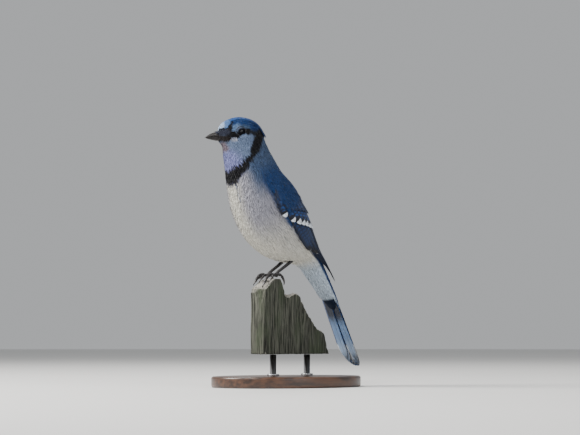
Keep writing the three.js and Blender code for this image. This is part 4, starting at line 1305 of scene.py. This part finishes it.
# %% Leg materials
def scale_material():
    graph = Graph("scaly_skin", Roughness=0.5, Specular_IOR_Level=0.4)
    inputs = {"Vector": graph.place(), "Scale": 1.3}
    cells = graph.node("ShaderNodeTexVoronoi", inputs, feature="DISTANCE_TO_EDGE").outputs[0]
    plates = graph.step(0.02, 0.22, cells)
    dust = graph.noise(graph.place(), 0.7, 4.0)
    colour = graph.mix(plates, rgb(20, 19, 20), rgb(52, 49, 50))
    colour = graph.mix(graph.step(0.55, 0.8, dust, (0, 0.5)), colour, rgb(88, 82, 78))
    return graph.finish(colour, graph.step(0.3, 0.7, dust, (0.42, 0.6)), plates, 0.16)


def claw_material():
    graph = Graph("claw_horn", Roughness=0.32, Coat_Weight=0.2, Coat_Roughness=0.3)
    grain = graph.noise(graph.place((500.0, 500.0, 1500.0)), 1.2, 4.0)
    return graph.finish(graph.mix(grain, rgb(22, 20, 21), rgb(56, 50, 48)), None, grain, 0.05)


SCALES = scale_material()
CLAW = claw_material()
print("materials:", SCALES.name, CLAW.name)


# %% Measures of the legs and feet
FOOT_Y = 6.6
FOOT_JOINT = np.array([-1.6, 0.0, 3.6])
SHANK_TOP = np.array([20.0, 0.0, 19.5])
# bones and claw of each toe: x forward of the grip, out from the middle plane, z
TOES = {
    "middle": dict(bones=[(-5.2, 0, 3.0), (-9.4, 0.3, 3.0), (-13.0, 0.5, -0.6), (-14.6, 0.6, -3.6)],
                   claw=[(-16.0, 0.6, -5.2), (-17.0, 0.6, -6.8), (-17.4, 0.6, -8.6)], radius=1.35),
    "inner": dict(bones=[(-4.2, -2.0, 2.8), (-7.6, -3.2, 2.4), (-10.6, -3.8, -0.6)],
                  claw=[(-12.2, -3.9, -2.4), (-13.4, -3.8, -4.2), (-13.9, -3.7, -6.2)], radius=1.25),
    "outer": dict(bones=[(-3.4, 1.8, 2.8), (-6.2, 2.9, 2.6), (-8.8, 3.3, 0.2)],
                  claw=[(-10.4, 3.3, -1.2), (-11.6, 3.2, -2.8), (-12.1, 3.1, -4.9)], radius=1.25),
    "hind": dict(bones=[(1.0, 0, 3.0), (3.4, 0, 2.0), (4.8, 0.2, -0.8)],
                 claw=[(5.7, 0.3, -3.0), (5.9, 0.3, -5.0), (5.3, 0.3, -6.9)], radius=1.4),
}
FRONT_LEAN, REAR_LEAN = 1.1, 1.3  # how the turned picket's slopes differ under the left foot
SHANK_ROWS, SHANK_PLATES = 90, 13
BONE_ROWS, CLAW_ROWS = 26, 30
SIDEWAYS = (0, 1, 0.01)  # a touch off the axis, so that it never lies along a tube
print("toes:", ", ".join(TOES))


# %% Legs and feet
def along_points(points, count):
    points = np.asarray(points, float)
    return through(points, np.linspace(0, len(points) - 1, count))


def make_leg(word, side):
    y = -side * FOOT_Y
    ankle = FOOT_JOINT + [1.2, y, 1.0]
    joints = [ankle - [1.4, 0, 2.2], ankle, [10, y * 1.04, 11.9], SHANK_TOP + [0, y * 1.1, 0]]
    share = np.linspace(0, 1, SHANK_ROWS)
    plates = 0.06 * np.abs(np.sin(share * math.pi * SHANK_PLATES)) ** 0.5
    radius = np.interp(share, [0, 0.1, 0.3, 0.6, 1], [1.75, 1.6, 1.35, 1.4, 1.8]) + plates
    path = along_points(joints, SHANK_ROWS)
    leg = tube(f"shank_{word}", path, radius, SCALES, sides=18, up=SIDEWAYS)
    settle(leg, "scaly_skin", f"leg_{word}")


def make_foot(word, side):
    def at(place):
        x, out, z = place
        front = side * FRONT_LEAN * smoothstep(8, 12, -x)
        rear = side * REAR_LEAN * smoothstep(1, 5, x)
        return np.array([x + rear, -side * (FOOT_Y + out), z - front])

    heel = at((FOOT_JOINT[0], 0, FOOT_JOINT[2] - 1.9))
    knob = [heel + [0.3 * step, 0, 0.55 * step] for step in np.linspace(-1.8, 4.2, 13)]
    swell = 1.75 * np.sqrt(np.maximum(1 - np.linspace(-1, 0.55, 13) ** 4, 0.01))
    parts = [tube("ankle", knob, swell, SCALES, 16, 1, SIDEWAYS)]
    for name, toe in TOES.items():
        bones = [heel, *[at(place) for place in toe["bones"]]]
        count = BONE_ROWS * (len(bones) - 1)
        share = np.linspace(0, len(bones) - 1, count)
        pads = 0.12 * np.cos(2 * math.pi * share)
        scutes = 0.05 * np.abs(np.sin(share * math.pi * 4)) ** 0.6
        radius = toe["radius"] * np.linspace(1.0, 0.8, count) * (0.94 - pads) + scutes
        parts.append(tube(f"toe_{name}", along_points(bones, count), radius, SCALES, 16, 1, SIDEWAYS))
        claw = along_points([bones[-1], *[at(place) for place in toe["claw"]]], CLAW_ROWS)
        radius = toe["radius"] * (0.74 * (1 - np.linspace(0, 1, CLAW_ROWS)) ** 0.7 + 0.05)
        parts.append(tube(f"claw_{name}", claw, radius, CLAW, 14, 1.15, SIDEWAYS))
    foot = join(f"toes_{word}", parts)
    settle(foot, "scaly_skin", f"foot_{word}")
    print("foot", word, len(foot.data.polygons), "faces")


for word, side in (("left", 1), ("right", -1)):
    make_leg(word, side)
    make_foot(word, side)


# %% [markdown]
# ## The picket
# Years of weather have eaten the soft wood of this unpainted picket and left its harder fibres
# standing, with a torn top, long cracks and a grey-green skin. A fine voxel remesh of the CAD's solid
# gives an even mesh, and noise stretched along the grain carves the fibres into it.

# %% Old wood
PICKET_TURN = math.radians(12)


def old_wood_material():
    graph = Graph("weathered_wood", Roughness=0.9, Specular_IOR_Level=0.15)
    grain = graph.noise(graph.place((900.0, 900.0, 40.0), (0, 0, -PICKET_TURN)), 1.0, 6.0, 0.65)
    fine = graph.noise(graph.place((2600.0, 2600.0, 90.0)), 1.0, 4.0, 0.6)
    stain = graph.noise(graph.place((60.0, 60.0, 22.0)), 1.0, 4.0)
    colour = graph.mix(graph.step(0.36, 0.64, grain), rgb(27, 28, 25), rgb(88, 89, 80))
    colour = graph.mix(graph.step(0.45, 0.7, stain, (0, 0.75)), colour, rgb(58, 66, 50))
    colour = graph.mix(graph.step(0.55, 0.8, fine, (0, 0.4)), colour, rgb(118, 116, 108))
    torn, _, _ = graph.parts(graph.attribute("torn"))
    pale = graph.times(torn, graph.step(0.35, 0.65, fine, (0.25, 0.95)))
    colour = graph.mix(pale, colour, rgb(172, 168, 160))
    bump = graph.plus(graph.times(grain, 0.7), graph.times(fine, 0.3))
    return graph.finish(colour, None, bump, 0.5)


WOOD = old_wood_material()
print("material:", WOOD.name)


# %% Noise and an even mesh
NOISE_CELLS = 256


def value_noise(x, y, seed):
    """Smooth noise from -1 to 1 over a plane, the same on every run."""
    table = np.random.default_rng(seed).uniform(-1, 1, (NOISE_CELLS, NOISE_CELLS))
    column, row = np.floor(x).astype(int), np.floor(y).astype(int)
    fx, fy = smoothstep(0, 1, x - column), smoothstep(0, 1, y - row)
    corner = lambda i, j: table[(column + i) % NOISE_CELLS, (row + j) % NOISE_CELLS]
    low = corner(0, 0) * (1 - fx) + corner(1, 0) * fx
    high = corner(0, 1) * (1 - fx) + corner(1, 1) * fx
    return low * (1 - fy) + high * fy


def remeshed_copy(node, name, voxel):
    """An even, closed mesh of a CAD node, with its loose triangles joined first."""
    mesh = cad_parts[node].data.copy()
    shell = bmesh.new()
    shell.from_mesh(mesh)
    bmesh.ops.remove_doubles(shell, verts=shell.verts, dist=1e-6)
    shell.to_mesh(mesh)
    shell.free()
    piece = linked(name, mesh)
    remesh = piece.modifiers.new("even", "REMESH")
    remesh.mode = "VOXEL"
    remesh.voxel_size = voxel * MM
    keep_result(piece)
    return piece


def keep_result(piece):
    """Makes what a piece's modifiers do its own mesh, and takes them off."""
    whole = piece.evaluated_get(bpy.context.evaluated_depsgraph_get())
    mesh = bpy.data.meshes.new_from_object(whole)
    piece.modifiers.clear()
    piece.data = mesh


# %% Carve the picket
def vertex_values(mesh, name):
    values = np.empty(len(mesh.vertices) * 3)
    mesh.vertices.foreach_get(name, values)
    return values.reshape(-1, 3)


PICKET_VOXEL = 0.75
CRACK_DEPTH = 0.7


def make_picket():
    picket = remeshed_copy("perch", "weathered_picket", PICKET_VOXEL)
    mesh = picket.data
    points = vertex_values(mesh, "co") / MM - GRIP
    normals = vertex_values(mesh, "normal")
    x, y, z = points.T
    u = x * math.cos(PICKET_TURN) + y * math.sin(PICKET_TURN)
    v = -x * math.sin(PICKET_TURN) + y * math.cos(PICKET_TURN)
    fibres = value_noise(u * 0.9 + 40, z * 0.035 + 9 + 0.2 * v, 3)
    fibres = fibres + 0.6 * value_noise(u * 2.1, z * 0.06 + 0.3 * v, 4)
    ends = value_noise(u * 1.1, v * 1.1 + 70, 5)
    sideways = np.abs(normals[:, 2]) < 0.5
    carve = np.where(sideways, -0.35 + 0.32 * fibres, -0.5 + 0.5 * ends + 0.3 * fibres)
    crack = smoothstep(0.25, 0.0, np.abs(value_noise(u * 0.16 + 5, z * 0.012 + 2, 6))) * (np.abs(v) > 4)
    carve = carve - CRACK_DEPTH * crack * sideways
    gripped = smoothstep(30, 16, np.abs(x)) * smoothstep(-16, -8, z)
    torn = smoothstep(0.3, 0.75, normals[:, 2]) * smoothstep(-60, -50, z)
    points = points + normals * (carve * (1 - 0.6 * gripped))[:, None]
    mesh.vertices.foreach_set("co", ((points + GRIP) * MM).ravel())
    give(picket, "torn", np.stack([torn, torn, torn], -1))
    mesh.materials.clear()
    mesh.materials.append(WOOD)
    mesh.shade_smooth()
    settle(picket, "weathered_wood", "perch")
    print("picket:", len(mesh.polygons), "faces")
    return picket


picket = make_picket()


# %% [markdown]
# Where the top broke off, splinters stand up along the grain. There are hundreds, all alike but for
# their size and lean, which is work for Geometry Nodes: scatter points over the torn faces, stand a
# thin cone on each, and make the copies real so that they export as one mesh.

# %% Splinter tree
def splinter_material():
    graph = Graph("splinter_wood", Roughness=0.9, Specular_IOR_Level=0.15)
    grain = graph.noise(graph.place((700.0, 700.0, 60.0)), 1.0, 4.0)
    return graph.finish(graph.mix(grain, rgb(70, 68, 62), rgb(186, 182, 172)), None, grain, 0.2)


SPLINTERS = {
    "Per square metre": 520000.0,
    "Length": 2.1 * MM,
    "Thickness": 0.5 * MM,
    "Highest": (GRIP[2] - 8.5) * MM,  # none under the feet
}
SPLINTER_DEPTH = 0.7 * MM
LEAST_UPWARD = 0.45


def splinter_tree(material):
    tree = bpy.data.node_groups.new("splinters", "GeometryNodeTree")
    nodes = Nodes(tree)
    for way in ("INPUT", "OUTPUT"):
        tree.interface.new_socket("Geometry", in_out=way, socket_type="NodeSocketGeometry")
    for name in SPLINTERS:
        tree.interface.new_socket(name, in_out="INPUT", socket_type="NodeSocketFloat")
    given = nodes.node("NodeGroupInput").outputs
    facing = nodes.parts(nodes.node("GeometryNodeInputNormal").outputs[0])["Z"]
    height = nodes.parts(nodes.node("GeometryNodeInputPosition").outputs[0])["Z"]
    upward = nodes.math("GREATER_THAN", facing, LEAST_UPWARD)
    torn = nodes.times(upward, nodes.math("LESS_THAN", height, given["Highest"]))
    scattered = nodes.node("GeometryNodeDistributePointsOnFaces", {
        "Mesh": given["Geometry"], "Density": nodes.times(torn, given["Per square metre"]), "Seed": 5,
    })
    cone = nodes.node("GeometryNodeMeshCone", {
        "Vertices": 5, "Radius Top": 0.0, "Radius Bottom": given["Thickness"], "Depth": given["Length"],
    })
    down = (0.0, 0.0, -SPLINTER_DEPTH)
    sunk = nodes.node("GeometryNodeTransform", {0: cone.outputs[0], "Translation": down})
    chance = lambda low, high, seed: nodes.node(
        "FunctionNodeRandomValue", {0: low, 1: high, "Seed": seed}, data_type="FLOAT_VECTOR").outputs[0]
    stood = nodes.node("GeometryNodeInstanceOnPoints", {
        "Points": scattered.outputs["Points"],
        "Instance": sunk.outputs[0],
        "Rotation": chance((-0.5, -0.5, 0.0), (0.5, 0.5, 6.28), 7),
        "Scale": chance((0.5, 0.3, 0.4), (1.9, 0.8, 1.3), 9),
    })
    real = nodes.node("GeometryNodeRealizeInstances", {0: stood.outputs[0]})
    finished = nodes.node("GeometryNodeSetMaterial", {0: real.outputs[0], "Material": material})
    nodes.node("NodeGroupOutput", {0: finished.outputs[0]})
    return tree


# %% Splinters on the torn top
def make_splinters():
    splinters = linked("splinters", picket.data.copy())
    modifier = splinters.modifiers.new("splinters", "NODES")
    modifier.node_group = splinter_tree(splinter_material())
    for item in modifier.node_group.interface.items_tree:
        if item.name in SPLINTERS:
            modifier[item.identifier] = SPLINTERS[item.name]
    keep_result(splinters)
    settle(splinters, "weathered_wood")
    print("splinters:", len(splinters.data.polygons), "faces")


make_splinters()


# %% [markdown]
# ## Stand
# The picket is only a short length of the fence, so a plain museum stand holds it up: two steel rods
# in a dark oval base.

# %% Stand materials
def base_material():
    graph = Graph("dark_base_wood", Roughness=0.35, Coat_Weight=0.3, Coat_Roughness=0.25)
    rings = graph.noise(graph.place((14.0, 220.0, 220.0)), 1.0, 5.0, 0.6)
    pores = graph.noise(graph.place((120.0, 2400.0, 2400.0)), 1.0, 3.0)
    colour = graph.mix(graph.step(0.35, 0.65, rings), rgb(44, 27, 18), rgb(84, 54, 36))
    colour = graph.mix(graph.step(0.6, 0.75, pores, (0, 0.5)), colour, rgb(28, 17, 12))
    return graph.finish(colour, graph.step(0.3, 0.7, rings, (0.3, 0.42)), pores, 0.06)


def steel_material():
    graph = Graph("brushed_rod", Metallic=1.0, Roughness=0.34)
    brushed = graph.noise(graph.place((3000.0, 3000.0, 60.0)), 1.0, 3.0)
    colour = graph.mix(brushed, rgb(150, 150, 152), rgb(196, 196, 198))
    return graph.finish(colour, graph.step(0.3, 0.7, brushed, (0.26, 0.42)), brushed, 0.03)


BASE_WOOD = base_material()
STEEL = steel_material()
BASE_EDGE = 2.0  # radius of its rounded edges
print("materials:", BASE_WOOD.name, STEEL.name)


# %% Base and rods
def make_base():
    low, high = (np.array(corner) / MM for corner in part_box("stand_base"))
    middle, size = (low + high) / 2, (high - low) / 2
    corner = np.linspace(0, math.pi / 2, 9)
    rising, closing = BASE_EDGE * (1 - np.cos(corner)), BASE_EDGE * (1 - np.sin(corner))
    hub = [size[1] * 0.98]
    inset = np.concatenate([hub, closing, rising, hub])
    heights = np.concatenate([[low[2]], low[2] + rising, high[2] - closing, [high[2]]])
    turn = np.linspace(0, 2 * math.pi, 160, endpoint=False)
    x = middle[0] + (size[0] - inset[:, None]) * np.cos(turn)
    y = middle[1] + (size[1] - inset[:, None]) * np.sin(turn)
    z = np.repeat(heights[:, None], len(turn), 1)
    loops, sizes = ring_faces(len(heights), len(turn))
    base = new_object("oval_base", np.stack([x, y, z], -1).reshape(-1, 3) - GRIP, loops, sizes, BASE_WOOD)
    base.data.flip_normals()
    settle(base, "base_wood", "stand_base")


def make_rod(node):
    low, high = (np.array(corner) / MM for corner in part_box(node))
    x, y = (low[:2] + high[:2]) / 2
    radius = (high[0] - low[0]) / 2
    heights = [0, 0.1, 1.4, 1.7, 1.75, high[2] - low[2]]
    radii = radius * np.array([1.75, 1.9, 1.9, 1.75, 1.0, 1.0])
    path = [np.array([x, y, low[2] + height]) - GRIP for height in heights]
    rod = tube(node.replace("stand_", "steel_"), path, radii, STEEL, 40, up=(0, 1, 0))
    settle(rod, "rod_metal", node)


make_base()
for node in ("stand_rod_front", "stand_rod_rear"):
    make_rod(node)
print("base and rods made")


# %% [markdown]
# ## Floor and light
# A pale floor and soft light, as in a studio: one large key from the camera's left, a weaker fill
# from its right, a back light that lifts the outline, and a small light for a glint in the eye.

# %% Floor and light
def floor_material():
    graph = Graph("studio_floor", Roughness=0.8)
    faint = graph.noise(graph.place((3.0, 3.0, 3.0)), 1.0, 2.0)
    return graph.finish(graph.mix(faint, (0.66, 0.655, 0.64), (0.7, 0.695, 0.68)))


FLOOR_RADIUS, FLOOR_SIDES = 6000.0, 96
LIGHTS_AIM = Vector((0, 0, 0.14))
WORLD_COLOUR, WORLD_STRENGTH = (0.86, 0.88, 0.9, 1), 0.52
# azimuth and elevation in degrees, distance and size in metres, watts, colour
LIGHTS = {
    "key_light": (-112, 38, 1.5, 0.7, 46, (1.0, 0.98, 0.95)),
    "fill_light": (10, 20, 1.8, 1.2, 9, (0.93, 0.96, 1.0)),
    "back_light": (150, 50, 1.6, 0.7, 9, (1.0, 0.99, 0.97)),
    "eye_light": (-58, 40, 1.3, 0.2, 7, (1.0, 1.0, 1.0)),
}


def make_floor():
    turn = np.linspace(0, 2 * math.pi, FLOOR_SIDES, endpoint=False)
    points = FLOOR_RADIUS * np.stack([np.cos(turn), np.sin(turn), 0 * turn], -1) - GRIP
    material = floor_material()
    floor = new_object("studio_floor", points, np.arange(FLOOR_SIDES), [FLOOR_SIDES], material, smooth=False)


def add_light(name, azimuth, elevation, distance, size, power, colour):
    away = Vector(towards(math.radians(azimuth), math.radians(elevation)))
    data = bpy.data.lights.new(name, "AREA")
    data.shape = "DISK"
    data.size = size
    data.energy = power
    data.color = colour
    light = linked(name, data)
    light.location = LIGHTS_AIM + away * distance
    light.rotation_euler = away.to_track_quat("Z", "Y").to_euler()


make_floor()
for name, light in LIGHTS.items():
    add_light(name, *light)
world = bpy.data.worlds.new("studio")
world.use_nodes = True
background = world.node_tree.nodes["Background"]
background.inputs["Color"].default_value = WORLD_COLOUR
background.inputs["Strength"].default_value = WORLD_STRENGTH
print(len(LIGHTS), "lights")
bpy.context.scene.world = world
